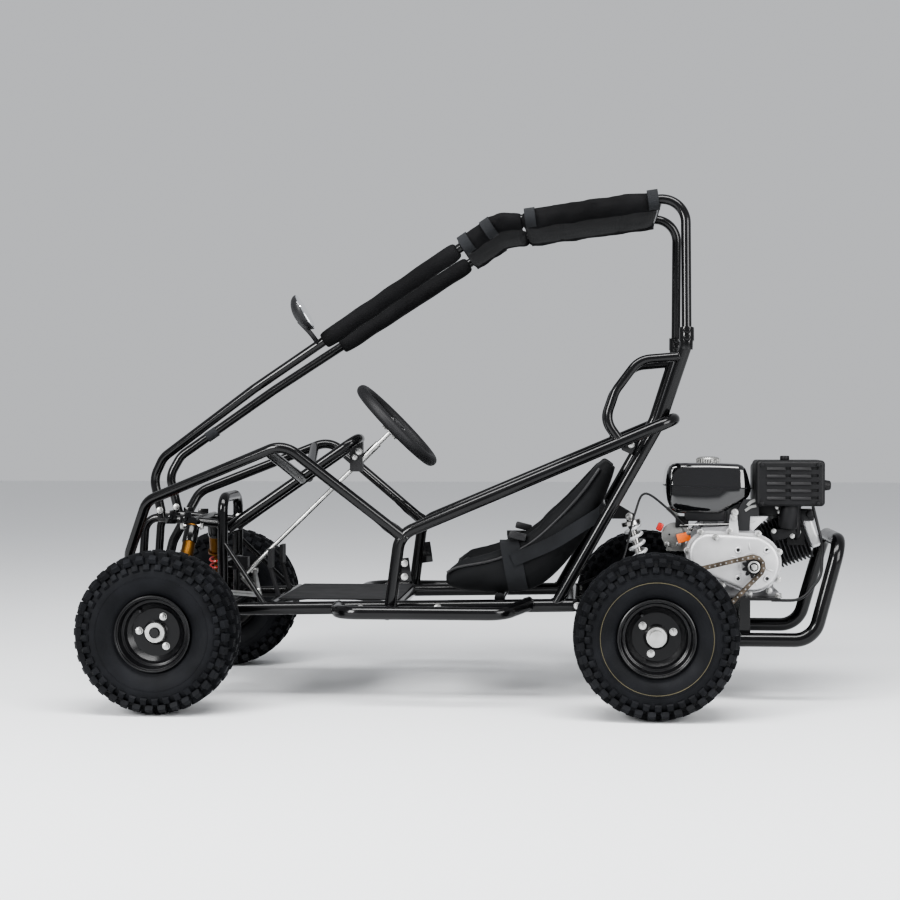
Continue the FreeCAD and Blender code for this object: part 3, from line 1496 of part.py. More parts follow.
cylinder_pieces = [
    tilted_box("barrel", 0, cylinder_length, size("barrel_width"), size("barrel_height"))
]
for index in range(int(cylinder_length / size("fin_pitch"))):
    start_along = size("fin_pitch") * (index + first_fin_share)
    cylinder_pieces.append(
        tilted_box(
            "fin_%d" % index, start_along, size("fin_thickness"), size("fin_width"), size("fin_height"),
        )
    )
cylinder_node = cut("cylinder_seated", fused("cylinder_all", cylinder_pieces), [nodes["engine_case"]])
cylinder_node.Label = "cylinder"
nodes["cylinder"] = cylinder_node
valve_box = tilted_box(
    "valve_box",
    cylinder_length,
    size("valve_cover_depth"),
    size("valve_cover_width"),
    size("valve_cover_height"),
)
node("valve_cover", [softened("valve_cover_soft", valve_box, size("valve_cover_round"))])

# fuel tank of two pressed halves that meet at a seam, with its cap
seam_front = at(1.0304, 0, 0.4252)
seam_back = at(1.2101, 0, 0.4191)
tank_right_y = at(0, -0.2526, 0).y
tank_width = at(0, 0.2737, 0).y - tank_right_y
tank_shape = side_plate(
    "tank_shape",
    side_outline([
        seam_front, at(1.0424, 0, 0.4704), at(1.1945, 0, 0.4678), seam_back,
        at(1.2065, 0, 0.4009), at(1.141, 0, 0.367), at(1.0599, 0, 0.367), at(1.0341, 0, 0.3835),
    ]),
    tank_right_y, tank_width,
)
tank_body = softened("tank_body", tank_shape, size("tank_round"))
lip_front = moved(seam_front, forward=size("seam_reach"))
lip_back = moved(seam_back, forward=-size("seam_reach"))
seam_shape = side_plate(
    "seam_shape",
    side_outline([
        lip_front, moved(lip_front, up=size("sheet_thickness")),
        moved(lip_back, up=size("sheet_thickness")), lip_back,
    ]),
    tank_right_y - size("seam_reach"), tank_width + size("seam_reach") + size("seam_reach"),
)
doc.recompute()
seam = add("Part::Fillet", "tank_seam")
seam.Base = seam_shape
seam_corners = [
    number + 1 for number, edge in enumerate(seam_shape.Shape.Edges)
    if edge.Length < size("seam_reach")
]
seam.Edges = [(number, size("tank_round"), size("tank_round")) for number in seam_corners]
node("fuel_tank", [tank_body, seam], also_cut=tank_stays)
node(
    "tank_cap",
    [rod("cap_disc", at(1.1254, 0, 0.469), at(1.1254, 0, 0.484), "cap_radius")],
    also_cut=[tank_body],
)

# silencer in its louvred guard, with the pipe that feeds it
guard_low = at(1.3622, 0.0368, 0.3852)
guard_high = at(1.2184, 0.3053, 0.4765)
guard = softened("guard", block("guard_box", guard_low, guard_high), size("guard_round"))
louvre_rows = 5
louvre_start_share = 0.16
louvre_step_share = 0.16
louvre_column_shares = ((0.22, 0.52), (0.6, 0.9))
louvres = []
for row in range(louvre_rows):
    for column, (start_share, end_share) in enumerate(louvre_column_shares):
        z = guard_low.z + (guard_high.z - guard_low.z) * (louvre_start_share + louvre_step_share * row)
        x_start = guard_high.x + (guard_low.x - guard_high.x) * start_share
        x_end = guard_high.x + (guard_low.x - guard_high.x) * end_share
        louvres.append(
            block(
                "louvre_%d_%d" % (row, column),
                FreeCAD.Vector(x_end, guard_high.y - size("louvre_depth"), z),
                FreeCAD.Vector(x_start, guard_high.y + size("cut_overrun"), z + size("louvre_height")),
            )
        )
guard_cut = cut("guard_louvred", guard, louvres)
elbow = tube(
    "elbow", [at(1.3088, 0.1632, 0.3870), at(1.3088, 0.1632, 0.3252), at(1.3088, 0.1053, 0.3217)],
    "column_sleeve_radius", "tight_bend_radius",
)
elbow_flange = block("elbow_flange", at(1.3272, 0.0963, 0.3043), at(1.2903, 0.1158, 0.3409))
node("muffler", [guard_cut, elbow, elbow_flange])

cleaner_box = softened(
    "cleaner_box_soft",
    block("cleaner_box", at(1.3456, -0.3316, 0.3826), at(1.2258, -0.0158, 0.4696)),
    size("cleaner_round"),
)
neck = block("cleaner_neck", at(1.3272, -0.1579, 0.3617), at(1.2903, -0.0526, 0.387))
cleaner = cut("cleaner_seated", fused("cleaner_all", [cleaner_box, neck]), [nodes["cylinder"]])
cleaner.Label = "air_cleaner"
nodes["air_cleaner"] = cleaner

# recoil starter: a cup with slots round its end, over the pulley boss
drum_centre = at(1.1687, 0, 0.2783)
drum_wall = size("sheet_thickness")
drum_low = case_low_y - size("drum_depth")
drum = disc("drum", drum_centre, "drum_radius", drum_low, size("drum_depth"))
drum_room = disc(
    "drum_room",
    drum_centre,
    "drum_radius",
    drum_low + drum_wall,
    size("drum_depth"),
    " - " + cell("sheet_thickness"),
)
pulley = disc(
    "pulley", drum_centre, "pulley_radius", drum_low + drum_wall / 2, size("drum_depth") - drum_wall / 2,
)
slot_count = 12
slot_start_share = 0.5
slot_end_share = 0.86
drum_slots = []
for index in range(slot_count):
    slot = block(
        "drum_slot_%d" % index,
        FreeCAD.Vector(
            slot_start_share * size("drum_radius"), -size("cut_overrun"), -size("drum_slot_width") / 2,
        ),
        FreeCAD.Vector(
            slot_end_share * size("drum_radius"),
            drum_wall + size("cut_overrun"),
            size("drum_slot_width") / 2,
        ),
    )
    turn = FreeCAD.Rotation(LEFT, 360 * index / slot_count)
    offset = turn.multVec(slot.Placement.Base)
    slot.Placement = FreeCAD.Placement(moved(drum_centre, left=drum_low) + offset, turn)
    drum_slots.append(slot)
drum_cup = cut("drum_cup", drum, [drum_room] + drum_slots)
node("recoil_cover", [fused("drum_whole", [drum_cup, pulley])])

# engine mount: a plate on four posts that stand on the subframe rails
mount_post_shares = (
    (1.1023, subframe_share),
    (1.1023, -subframe_share),
    (1.1945, subframe_share),
    (1.1945, -subframe_share),
)
mount_posts = []
half_post = size("mount_post_width") / 2
for number, (behind_share, left_share) in enumerate(mount_post_shares):
    low = moved(at(behind_share, left_share, 0.1235), -half_post, -half_post)
    high = moved(at(behind_share, left_share, 0.1991), half_post, half_post)
    mount_posts.append(block("mount_post_%d" % number, low, high))
mount_plate = block("mount_plate", at(1.2682, -0.3526, 0.1991), at(1.0747, 0.3526, 0.205))
node(
    "engine_mount",
    mount_posts + [mount_plate],
    sides("subframe_rail") + ["subframe_cross_0", "subframe_cross_1", "bumper"],
)

# mirror on the left cage tube: a domed shell, its stem and the glass
mirror_centre = at(0.2682, 0.4632, 0.773)
mirror_face = FreeCAD.Vector(-0.87, 0, 0.49)
mirror_face.normalize()
mirror_shape_share = 0.92
quarter_circle = 90
dome = add("Part::Ellipsoid", "mirror_dome")
dome.setExpression("Radius1", cell("mirror_shell_depth"))
dome.setExpression("Radius2", cell("mirror_width") + " / 2 * %s" % mirror_shape_share)
dome.setExpression("Radius3", cell("mirror_width") + " / 2")
dome.Angle1 = -quarter_circle
dome.Angle2 = 0
dome.Placement = FreeCAD.Placement(mirror_centre, look_along(mirror_face))
stem = tube(
    "mirror_stem", [at(0.2562, 0.4632, 0.7548), at(0.2825, 0.4526, 0.7287), at(0.2912, 0.3842, 0.713)],
    "rod_radius", "tight_bend_radius",
)
node("mirror_shell", [dome, stem], sides("cage_leg"), "seat_gap")
glass_half = size("mirror_width") / 2 - size("mirror_rim")
glass_ring = Part.Ellipse(FreeCAD.Vector(0, 0, 0), glass_half, glass_half * mirror_shape_share)
glass_face = Part.Face(Part.Wire(glass_ring.toShape()))
glass = feature("mirror_pane", glass_face.extrude(FreeCAD.Vector(0, 0, size("glass_thickness"))))
glass.Placement = FreeCAD.Placement(
    mirror_centre + mirror_face * size("seat_gap"), look_along(mirror_face),
)
node("mirror_glass", [glass])

# throttle cable held from the head back round and under the engine mount
cable_points = [
    at(1.3419, 0.1842, 0.3837),
    at(1.3622, 0.1947, 0.3043),
    at(1.3585, 0.2105, 0.2435),
    at(1.318, 0.2211, 0.1958),
    at(1.2535, 0.2263, 0.1958),
]
node("throttle_cable", [tube("throttle_line", cable_points, "cable_radius")])

doc.recompute()
os.makedirs("parts", exist_ok=True)
for made in doc.Objects:
    for word in ("Invalid", "Error"):
        if word in made.State:
            raise RuntimeError("%s is %s" % (made.Label, word))
for label, made in nodes.items():
    if made.Shape.isNull() or not made.Shape.isValid():
        raise RuntimeError("%s has no valid shape" % label)
for label, made in nodes.items():
    made.Shape.exportStep("parts/%s.step" % label)
    print(label, len(made.Shape.Solids), "solids, volume", round(made.Shape.Volume))
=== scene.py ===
import json
import math
import bmesh
import bpy
from mathutils import Matrix, Vector


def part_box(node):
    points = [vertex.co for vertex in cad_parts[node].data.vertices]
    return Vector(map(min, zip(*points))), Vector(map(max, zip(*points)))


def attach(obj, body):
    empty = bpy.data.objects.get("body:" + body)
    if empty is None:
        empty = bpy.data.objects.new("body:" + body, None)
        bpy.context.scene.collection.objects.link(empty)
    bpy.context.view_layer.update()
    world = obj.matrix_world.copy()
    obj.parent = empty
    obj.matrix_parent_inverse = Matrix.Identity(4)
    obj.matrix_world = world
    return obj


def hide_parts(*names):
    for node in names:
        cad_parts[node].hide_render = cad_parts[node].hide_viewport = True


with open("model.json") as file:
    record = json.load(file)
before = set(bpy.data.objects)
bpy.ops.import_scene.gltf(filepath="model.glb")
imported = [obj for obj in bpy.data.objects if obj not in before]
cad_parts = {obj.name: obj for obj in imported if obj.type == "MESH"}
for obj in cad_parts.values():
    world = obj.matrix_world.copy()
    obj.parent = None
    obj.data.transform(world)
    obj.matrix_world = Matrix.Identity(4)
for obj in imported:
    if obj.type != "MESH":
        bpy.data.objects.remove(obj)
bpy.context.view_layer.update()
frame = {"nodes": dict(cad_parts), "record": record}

# off-road buggy in metres: +x forward, +y to the driver's left, z = 0 on the ground
axleSpot = {joint["name"]: Vector(joint["pos_m"]) for joint in frame["record"]["behaviour"]["joints"]}
frontAxle = axleSpot["wheel_front_left"]
rearAxle = axleSpot["rear_axle"]
forward, across, upward = Vector((1, 0, 0)), Vector((0, 1, 0)), Vector((0, 0, 1))
headings = {"left": across, "right": -across, "up": upward, "down": -upward}
meshLook = {"merge": 0.00002, "rimAngle": 60, "washer": 0.0014, "headBreak": 0.0008}


def spot(behind, left, up):
    # a place in millimetres behind the front axle, left of the middle and above the ground
    return Vector((frontAxle.x - behind / 1000, left / 1000, up / 1000))


def mirrored(place):
    return Vector((place.x, -place.y, place.z))


def onCircle(centre, radius, angle):
    # a place on an upright circle whose axle runs across
    return centre + Vector((radius * math.cos(angle), 0, radius * math.sin(angle)))


def between(points, number, t):
    # a value or a place on the smooth curve from one point to the next
    before, start = points[max(number - 1, 0)], points[number]
    end, after = points[number + 1], points[min(number + 2, len(points) - 1)]
    return 0.5 * (2 * start + (end - before) * t + (2 * before - 5 * start + 4 * end - after) * t * t
                  + (3 * start - before - 3 * end + after) * t ** 3)


def smoothLine(points, steps):
    # points along a smooth curve that passes through each given place
    line = [between(points, number, step / steps) for number in range(len(points) - 1) for step in range(steps)]
    return line + [points[-1].copy()]


def curveAt(values, share):
    # a value part of the way along a list, with smooth corners
    place = share * (len(values) - 1)
    number = min(int(place), len(values) - 2)
    return between(values, number, place - number)


def headingAt(line, number):
    return (line[min(number + 1, len(line) - 1)] - line[max(number - 1, 0)]).normalized()


# object and mesh helpers
def cleaned(mesh):
    # merges doubles, then turns every face outwards
    bmesh.ops.remove_doubles(mesh, verts=mesh.verts, dist=meshLook["merge"])
    bmesh.ops.recalc_face_normals(mesh, faces=mesh.faces)


def toObject(mesh, name):
    data = bpy.data.meshes.new(name)
    mesh.to_mesh(data)
    mesh.free()
    made = bpy.data.objects.new(name, data)
    bpy.context.scene.collection.objects.link(made)
    return made


def finishPiece(mesh, name, body, slotName, smoothAngle, *finishNames):
    # cleans a mesh, shades it smooth up to an angle, and gives it finishes and a body
    cleaned(mesh)
    for edge in mesh.edges:
        edge.smooth = edge.calc_face_angle(0) < math.radians(smoothAngle)
    for face in mesh.faces:
        face.smooth = True
    piece = toObject(mesh, name)
    for finishName in finishNames:
        piece.data.materials.append(finishes[finishName])
    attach(piece, body)
    return piece


def setIndex(verts, index):
    for face in {face for vert in verts if vert.is_valid for face in vert.link_faces}:
        face.material_index = index


def addDisc(mesh, start, end, radius, segments=24, endRadius=None, bevel=0.0, index=0):
    # a round bar or disc from start to end, with its rims broken by a small bevel
    turn = (end - start).normalized().to_track_quat("Z", "Y").to_matrix().to_4x4()
    verts = bmesh.ops.create_cone(
        mesh, cap_ends=True, segments=segments, radius1=radius, radius2=radius if endRadius is None else endRadius,
        depth=(end - start).length, matrix=Matrix.Translation((start + end) / 2) @ turn)["verts"]
    if bevel:
        rims = [edge for edge in {edge for vert in verts for edge in vert.link_edges}
                if edge.calc_face_angle(0) > math.radians(meshLook["rimAngle"])]
        verts += bmesh.ops.bevel(mesh, geom=rims, offset=bevel, segments=2, profile=0.5,
                                 affect="EDGES", material=-1)["verts"]
    setIndex(verts, index)


def addBlock(mesh, centre, sizes, bevel=0.0, angle=0, axis="Y", index=0):
    # a rectangular block with rounded edges, turned about an axis
    turn = Matrix.Rotation(math.radians(angle), 4, axis)
    matrix = Matrix.Translation(centre) @ turn @ Matrix.Diagonal((*sizes, 1))
    verts = bmesh.ops.create_cube(mesh, size=1, matrix=matrix)["verts"]
    if bevel:
        edges = list({edge for vert in verts for edge in vert.link_edges})
        verts += bmesh.ops.bevel(mesh, geom=edges, offset=bevel, segments=2, profile=0.5,
                                 affect="EDGES", material=-1)["verts"]
    setIndex(verts, index)


def addSpin(mesh, profile, centre, axis, side, steps, closed=False, index=0):
    # turns a profile of (along the axis, radius) pairs round an axis
    verts = [mesh.verts.new(centre + axis * along + side * radius) for along, radius in profile]
    pairs = list(zip(verts, verts[1:]))
    if closed:
        pairs.append((verts[-1], verts[0]))
    edges = [mesh.edges.new(pair) for pair in pairs]
    before = set(mesh.faces)
    bmesh.ops.spin(mesh, geom=verts + edges, cent=centre, axis=axis, dvec=(0, 0, 0),
                   angle=2 * math.pi, steps=steps, use_merge=True, use_duplicate=False)
    for face in set(mesh.faces) - before:
        face.material_index = index


def addHex(mesh, place, direction, width, height, index=0, washer=1.35):
    # a hexagon head on its washer
    out = direction.normalized()
    seat, top = (place + out * rise for rise in (meshLook["washer"], meshLook["washer"] + height))
    if washer:
        addDisc(mesh, place, seat, width / 2 * washer, 20, index=index)
    addDisc(mesh, seat, top, width / 2 / math.cos(math.pi / 6), 6, bevel=meshLook["headBreak"], index=index)


def addTube(mesh, points, radius, segments=12, index=0):
    # a round bar through points: rings joined one after the other
    rings = []
    for number, place in enumerate(points):
        ahead = points[min(number + 1, len(points) - 1)] - place
        back = place - points[max(number - 1, 0)]
        heading = (ahead.normalized() + back.normalized()).normalized()
        ring = bmesh.ops.create_circle(mesh, cap_ends=False, segments=segments, radius=radius)["verts"]
        if not rings:
            side = heading.orthogonal().normalized()
        side = (side - heading * side.dot(heading)).normalized()
        other = heading.cross(side)
        for step, vert in enumerate(ring):
            angle = 2 * math.pi * step / segments
            vert.co = place + side * (radius * math.cos(angle)) + other * (radius * math.sin(angle))
        rings.append(ring)
    for first, second in zip(rings, rings[1:]):
        for step in range(segments):
            after = (step + 1) % segments
            mesh.faces.new((first[step], first[after], second[after], second[step])).material_index = index
    for ring in (rings[0], rings[-1]):
        mesh.faces.new(ring).material_index = index


def loftRings(mesh, rings, closed=True):
    # joins rings of places to a skin; closed puts a face over each end
    made = [[mesh.verts.new(place) for place in ring] for ring in rings]
    for first, second in zip(made, made[1:]):
        for step in range(len(first)):
            after = (step + 1) % len(first)
            mesh.faces.new((first[step], first[after], second[after], second[step]))
    for ring in (made[0], made[-1]) if closed else ():
        middle = mesh.verts.new(sum((vert.co for vert in ring), Vector()) / len(ring))
        for step in range(len(ring)):
            mesh.faces.new((ring[step], ring[(step + 1) % len(ring)], middle))


def addBand(mesh, line, outs, width, thickness):
    # flat webbing along a line, its face turned to the given outward headings
    rings = []
    for number, place in enumerate(line):
        heading = headingAt(line, number)
        out = (outs[number] - heading * outs[number].dot(heading)).normalized()
        side, lift = heading.cross(out) * width / 2, out * thickness / 2
        rings.append([place - side - lift, place + side - lift, place + side + lift, place - side + lift])
    loftRings(mesh, rings)


def addPlate(mesh, outline, rise, index=0):
    # an outline of places drawn out to a plate
    verts = [mesh.verts.new(place) for place in outline]
    made = bmesh.ops.extrude_face_region(mesh, geom=[mesh.faces.new(verts)])
    moved = [item for item in made["geom"] if isinstance(item, bmesh.types.BMVert)]
    bmesh.ops.translate(mesh, vec=rise, verts=moved)
    setIndex(moved + verts, index)


def sided(place, flip):
    return spot(place[0], flip * place[1], place[2])


def addParts(mesh, look, flip=1):
    # stock parts from a piece's dictionary: places in millimetres, sizes in metres, and flip -1 for the right side
    for start, end, radius, segments, bevel, index, *endRadius in look.get("discs", ()):
        addDisc(mesh, sided(start, flip), sided(end, flip), radius, segments, *endRadius, bevel=bevel, index=index)
    for centre, sizes, bevel, angle, index in look.get("blocks", ()):
        addBlock(mesh, sided(centre, flip), sizes, bevel, angle, index=index)
    for place, direction, width, height, index, *washer in look.get("heads", ()):
        out = headings[direction] if flip > 0 else mirrored(headings[direction])
        addHex(mesh, sided(place, flip), out, width, height, index, *washer)

# finishes: every one is procedural, on object coordinates
def addTexture(tree, place, kind, scale, result="Fac", **sockets):
    made = tree.nodes.new("ShaderNodeTex" + kind)
    made.inputs["Scale"].default_value = scale
    for socket, value in sockets.items():
        made.inputs[socket].default_value = value
    tree.links.new(place, made.inputs["Vector"])
    return made.outputs[result]


def makeFinish(name, dark, light, rough, metallic=0.0, specular=0.5, sheen=0.0, coat=0.0, coatRoughness=0.05,
               toneScale=9.0, grain=0, weave=0, cells=0, bump=0.2, bumpDepth=0.0003):
    material = bpy.data.materials.new(name)
    material.use_nodes = True
    tree = material.node_tree
    nodes, links = tree.nodes, tree.links
    shader = nodes["Principled BSDF"]
    for socket, value in (("Metallic", metallic), ("Specular IOR Level", specular), ("Sheen Weight", sheen),
                          ("Coat Weight", coat), ("Coat Roughness", coatRoughness)):
        shader.inputs[socket].default_value = value
    place = nodes.new("ShaderNodeTexCoord").outputs["Object"]

    ramp = nodes.new("ShaderNodeValToRGB")  # two tones of the same finish
    for stop, position, tone in zip(ramp.color_ramp.elements, (0.35, 0.7), (dark, light)):
        stop.position = position
        stop.color = (*tone, 1)
    links.new(addTexture(tree, place, "Noise", toneScale, Detail=5.0), ramp.inputs["Fac"])
    links.new(ramp.outputs["Color"], shader.inputs["Base Color"])

    shine = nodes.new("ShaderNodeMapRange")  # patches that are more and less worn
    shine.inputs["To Min"].default_value, shine.inputs["To Max"].default_value = rough
    links.new(addTexture(tree, place, "Noise", 22.0, Detail=6.0), shine.inputs["Value"])
    links.new(shine.outputs["Result"], shader.inputs["Roughness"])

    height = None
    if grain:
        height = addTexture(tree, place, "Noise", grain, Detail=6.0)
    if weave:  # over and under threads
        product = nodes.new("ShaderNodeMath")
        product.operation = "MULTIPLY"
        for number, direction in enumerate("XZ"):
            thread = addTexture(tree, place, "Wave", weave, Distortion=0.6)
            thread.node.bands_direction = direction
            links.new(thread, product.inputs[number])
        height = product.outputs["Value"]
    if cells:  # moulded foam skin
        height = addTexture(tree, place, "Voronoi", cells, "Distance")
    if height is not None:
        relief = nodes.new("ShaderNodeBump")
        relief.inputs["Strength"].default_value = bump
        relief.inputs["Distance"].default_value = bumpDepth
        links.new(height, relief.inputs["Height"])
        links.new(relief.outputs["Normal"], shader.inputs["Normal"])
    return material


finishLooks = {
    "powderBlack": dict(dark=(0.0018, 0.0018, 0.0021), light=(0.004, 0.004, 0.0044), rough=(0.15, 0.23),
                        specular=0.24, coat=0.18, coatRoughness=0.08, grain=60, bump=0.012, bumpDepth=0.0002),
    "rimBlack": dict(dark=(0.0025, 0.0025, 0.003), light=(0.005, 0.005, 0.0056), rough=(0.24, 0.36),
                     specular=0.22, coat=0.1, coatRoughness=0.2, grain=300, bump=0.06),
    "tyreRubber": dict(dark=(0.003, 0.0033, 0.0042), light=(0.007, 0.0075, 0.0092), rough=(0.50, 0.72),
                       specular=0.13, toneScale=16, grain=420, bump=0.35, bumpDepth=0.0008),
    "padNylon": dict(dark=(0.0018, 0.0018, 0.0021), light=(0.005, 0.005, 0.0056), rough=(0.62, 0.82),
                     specular=0.10, sheen=0.01, weave=260, bump=0.35, bumpDepth=0.0007),
    "strapGrey": dict(dark=(0.009, 0.0095, 0.0105), light=(0.017, 0.018, 0.020), rough=(0.75, 0.92),
                      specular=0.16, sheen=0.03, weave=420, bump=0.4, bumpDepth=0.0006),
    "seatCloth": dict(dark=(0.002, 0.0022, 0.0026), light=(0.006, 0.0064, 0.0072), rough=(0.55, 0.78),
                      specular=0.14, sheen=0.02, weave=330, bump=0.3, bumpDepth=0.0006),
    "zincPlate": dict(dark=(0.36, 0.36, 0.35), light=(0.58, 0.58, 0.57), rough=(0.24, 0.42), metallic=1.0,
                      toneScale=30, grain=260, bump=0.05),
    "turnedSteel": dict(dark=(0.42, 0.41, 0.40), light=(0.66, 0.65, 0.63), rough=(0.18, 0.36), metallic=1.0,
                        toneScale=20, grain=500, bump=0.06),
    "chainSteel": dict(dark=(0.05, 0.042, 0.034), light=(0.17, 0.14, 0.11), rough=(0.35, 0.6), metallic=1.0,
                       toneScale=60, grain=400, bump=0.1),
    "castAluminium": dict(dark=(0.44, 0.44, 0.445), light=(0.58, 0.58, 0.585), rough=(0.36, 0.52), metallic=0.6,
                          toneScale=12, grain=620, bump=0.30, bumpDepth=0.0006),
    "caseSilver": dict(dark=(0.20, 0.20, 0.205), light=(0.30, 0.30, 0.305), rough=(0.42, 0.60), metallic=0.6,
                       toneScale=10, grain=480, bump=0.35, bumpDepth=0.0008),
    "capSilver": dict(dark=(0.24, 0.24, 0.235), light=(0.34, 0.34, 0.33), rough=(0.32, 0.44), metallic=0.85,
                      toneScale=8, grain=500, bump=0.08),
    "castBlack": dict(dark=(0.008, 0.008, 0.009), light=(0.018, 0.018, 0.020), rough=(0.45, 0.65),
                      specular=0.35, grain=520, bump=0.3, bumpDepth=0.0006),
    "tankBlack": dict(dark=(0.003, 0.003, 0.0035), light=(0.005, 0.005, 0.006), rough=(0.04, 0.09),
                      coat=0.8, coatRoughness=0.02, toneScale=4),
    "heatBlack": dict(dark=(0.004, 0.004, 0.0045), light=(0.008, 0.008, 0.009), rough=(0.42, 0.60),
                      specular=0.24, grain=380, bumpDepth=0.0005),
    "plasticBlack": dict(dark=(0.006, 0.006, 0.007), light=(0.011, 0.011, 0.012), rough=(0.38, 0.55),
                         specular=0.35, grain=700, bumpDepth=0.0004),
    "gripFoam": dict(dark=(0.005, 0.005, 0.006), light=(0.010, 0.010, 0.011), rough=(0.5, 0.68),
                     specular=0.3, cells=420, bump=0.25, bumpDepth=0.0005),
    "damperGold": dict(dark=(0.085, 0.040, 0.010), light=(0.15, 0.074, 0.019), rough=(0.28, 0.46), metallic=1.0,
                       grain=300, bump=0.04),
    "springRed": dict(dark=(0.26, 0.008, 0.006), light=(0.38, 0.016, 0.012), rough=(0.2, 0.32), coat=0.3,
                      grain=200, bump=0.04),
    "springWhite": dict(dark=(0.62, 0.63, 0.64), light=(0.78, 0.79, 0.80), rough=(0.2, 0.34), coat=0.4,
                        grain=200, bump=0.04),
    "tagOrange": dict(dark=(0.72, 0.13, 0.02), light=(0.85, 0.20, 0.04), rough=(0.35, 0.5), grain=300, bump=0.05),
    "panBlack": dict(dark=(0.004, 0.004, 0.0045), light=(0.008, 0.008, 0.009), rough=(0.5, 0.7),
                     specular=0.25, grain=180, bump=0.3, bumpDepth=0.0006),
    "knobRed": dict(dark=(0.42, 0.02, 0.015), light=(0.55, 0.035, 0.025), rough=(0.3, 0.45), grain=300, bump=0.05),
    "mirrorSilver": dict(dark=(0.80, 0.82, 0.84), light=(0.86, 0.88, 0.89), rough=(0.02, 0.05), metallic=1.0),
    "cableBlack": dict(dark=(0.006, 0.006, 0.007), light=(0.013, 0.013, 0.014), rough=(0.35, 0.5),
                       specular=0.35, grain=500, bump=0.1),
    "tyreLine": dict(dark=(0.045, 0.038, 0.018), light=(0.085, 0.072, 0.034), rough=(0.5, 0.7), grain=500, bump=0.1),
}
finishes = {name: makeFinish(name, **look) for name, look in finishLooks.items()}
slotFinish = {
    "gloss_black_frame": "powderBlack", "rim_black": "rimBlack", "tyre_black": "tyreRubber",
    "pad_black": "padNylon", "zinc_steel": "zincPlate", "chain_steel": "chainSteel",
    "cast_aluminium": "castAluminium", "engine_black": "castBlack", "tank_black": "tankBlack",
    "muffler_black": "heatBlack", "cleaner_black": "plasticBlack", "grip_black": "gripFoam",
    "damper_gold": "damperGold", "spring_red": "springRed", "spring_white": "springWhite",
    "damper_steel": "turnedSteel", "mirror_silver": "mirrorSilver", "cable_black": "cableBlack",
}
nodeFinish = {"engine_case": "caseSilver", "floor_pan": "panBlack", "brake_caliper": "castAluminium",
              "pedals": "panBlack", "drive_sprocket": "heatBlack"}
nodeSlot = {part["node"]: part["material_slot"] for part in frame["record"]["subparts"]}
for nodeName, cadPiece in frame["nodes"].items():
    for holder in cadPiece.material_slots:
        holder.material = finishes[nodeFinish.get(nodeName, slotFinish[nodeSlot[nodeName]])]
print("finishes made:", len(finishes))

# tyres: a bulged carcass, two rows of shoulder knobs a side and three rows of tread knobs
tyreLook = {
    "knobCount": 36, "taper": 0.82, "round": 0.0010, "wall": 0.006, "steps": 96,
    "rows": [  # along the axle and radius as shares, lean from radial, knob size, turn in pitches
        (0.905, 0.812, 66, (0.0155, 0.0140, 0.0075), 0.0), (0.830, 0.888, 36, (0.0190, 0.0165, 0.0120), 0.5),
        (0.42, 0.930, 6, (0.0215, 0.0180, 0.0115), 0.0)],
    "middleRow": (0.0, 0.936, 0, (0.0215, 0.0180, 0.0115), 0.5),
    "lineShare": 0.912, "line": [(0, 0.1185), (0.0006, 0.1189), (0.0006, 0.1197), (0, 0.1201)],
    "sideRings": [(0.530, 0.7568), (0.600, 0.8394), (0.690, 0.915)],  # radius and place along the axle, as shares
    "ring": [(-0.001, 0), (0.0008, 0.0006), (0.0008, 0.0016), (-0.001, 0.0022)],
    "carcass": [  # along the axle and radius, as parts of the half width and the tip radius
        (0.62, 0.468), (0.70, 0.480), (0.745, 0.520), (0.82, 0.560), (0.90, 0.640), (0.925, 0.720),
        (0.915, 0.790), (0.860, 0.850), (0.760, 0.898), (0.60, 0.922), (0.30, 0.934), (0.0, 0.938)],
}
rimLook = {
    "widthShare": 0.80, "well": 0.0625, "wall": 0.0028, "backShare": 0.94, "steps": 72,
    "outerSide": [(0, 0.0835), (-0.0012, 0.0813), (0, 0.0795), (0.0060, 0.0785), (0.0180, 0.0745), (0.0205, 0.0700),
                  (0.0300, 0.0645), (0.034, 0.0625)],  # distance in from the rim's edge, and radius
    "innerSide": [(0.034, 0.0625), (0.0205, 0.0700), (0.0060, 0.0785), (0, 0.0795), (-0.0012, 0.0813), (0, 0.0835)],
    "face": 0.030, "hubFace": 0.0085,
    "dish": [(0, 0.0625), (0.004, 0.058), (0.0085, 0.052), (0.0085, 0.0275), (0.006, 0.0235), (0.006, 0.008),
             (0.009, 0.008), (0.0115, 0.0275), (0.0115, 0.053), (0.008, 0.060), (0.004, 0.0625)],
    "hub": [(-0.002, 0.0235), (0.012, 0.0235), (0.0145, 0.0215), (0.0145, 0.0125), (0.011, 0.0110), (0.011, 0.0001),
            (-0.002, 0.0001)],
    "hubEnd": 0.011, "boltCircle": 0.0375, "frontBolts": (65, 176, 306), "rearBolts": (141, 17, 252),
    "valve": (0.030, 0, 0.045), "valveCircle": 0.056,
}


def knobMesh(sizes, taper, rounded):
    # one knob: a block that narrows to its face, with broken edges
    mesh = bmesh.new()
    addBlock(mesh, Vector((0, 0, sizes[2] / 2)), sizes)
    top = [vert for vert in mesh.verts if vert.co.z > sizes[2] / 2]
    bmesh.ops.scale(mesh, vec=(taper, taper, 1), verts=top)
    topEdges = [edge for edge in mesh.edges if all(vert in top for vert in edge.verts)]
    bmesh.ops.bevel(mesh, geom=topEdges, offset=rounded, segments=1, profile=0.5, affect="EDGES", material=-1)
    under = [face for face in mesh.faces if face.normal.z < -0.9]
    bmesh.ops.delete(mesh, geom=under, context="FACES_ONLY")
    data = bpy.data.meshes.new("knob")
    mesh.to_mesh(data)
    mesh.free()
    return data


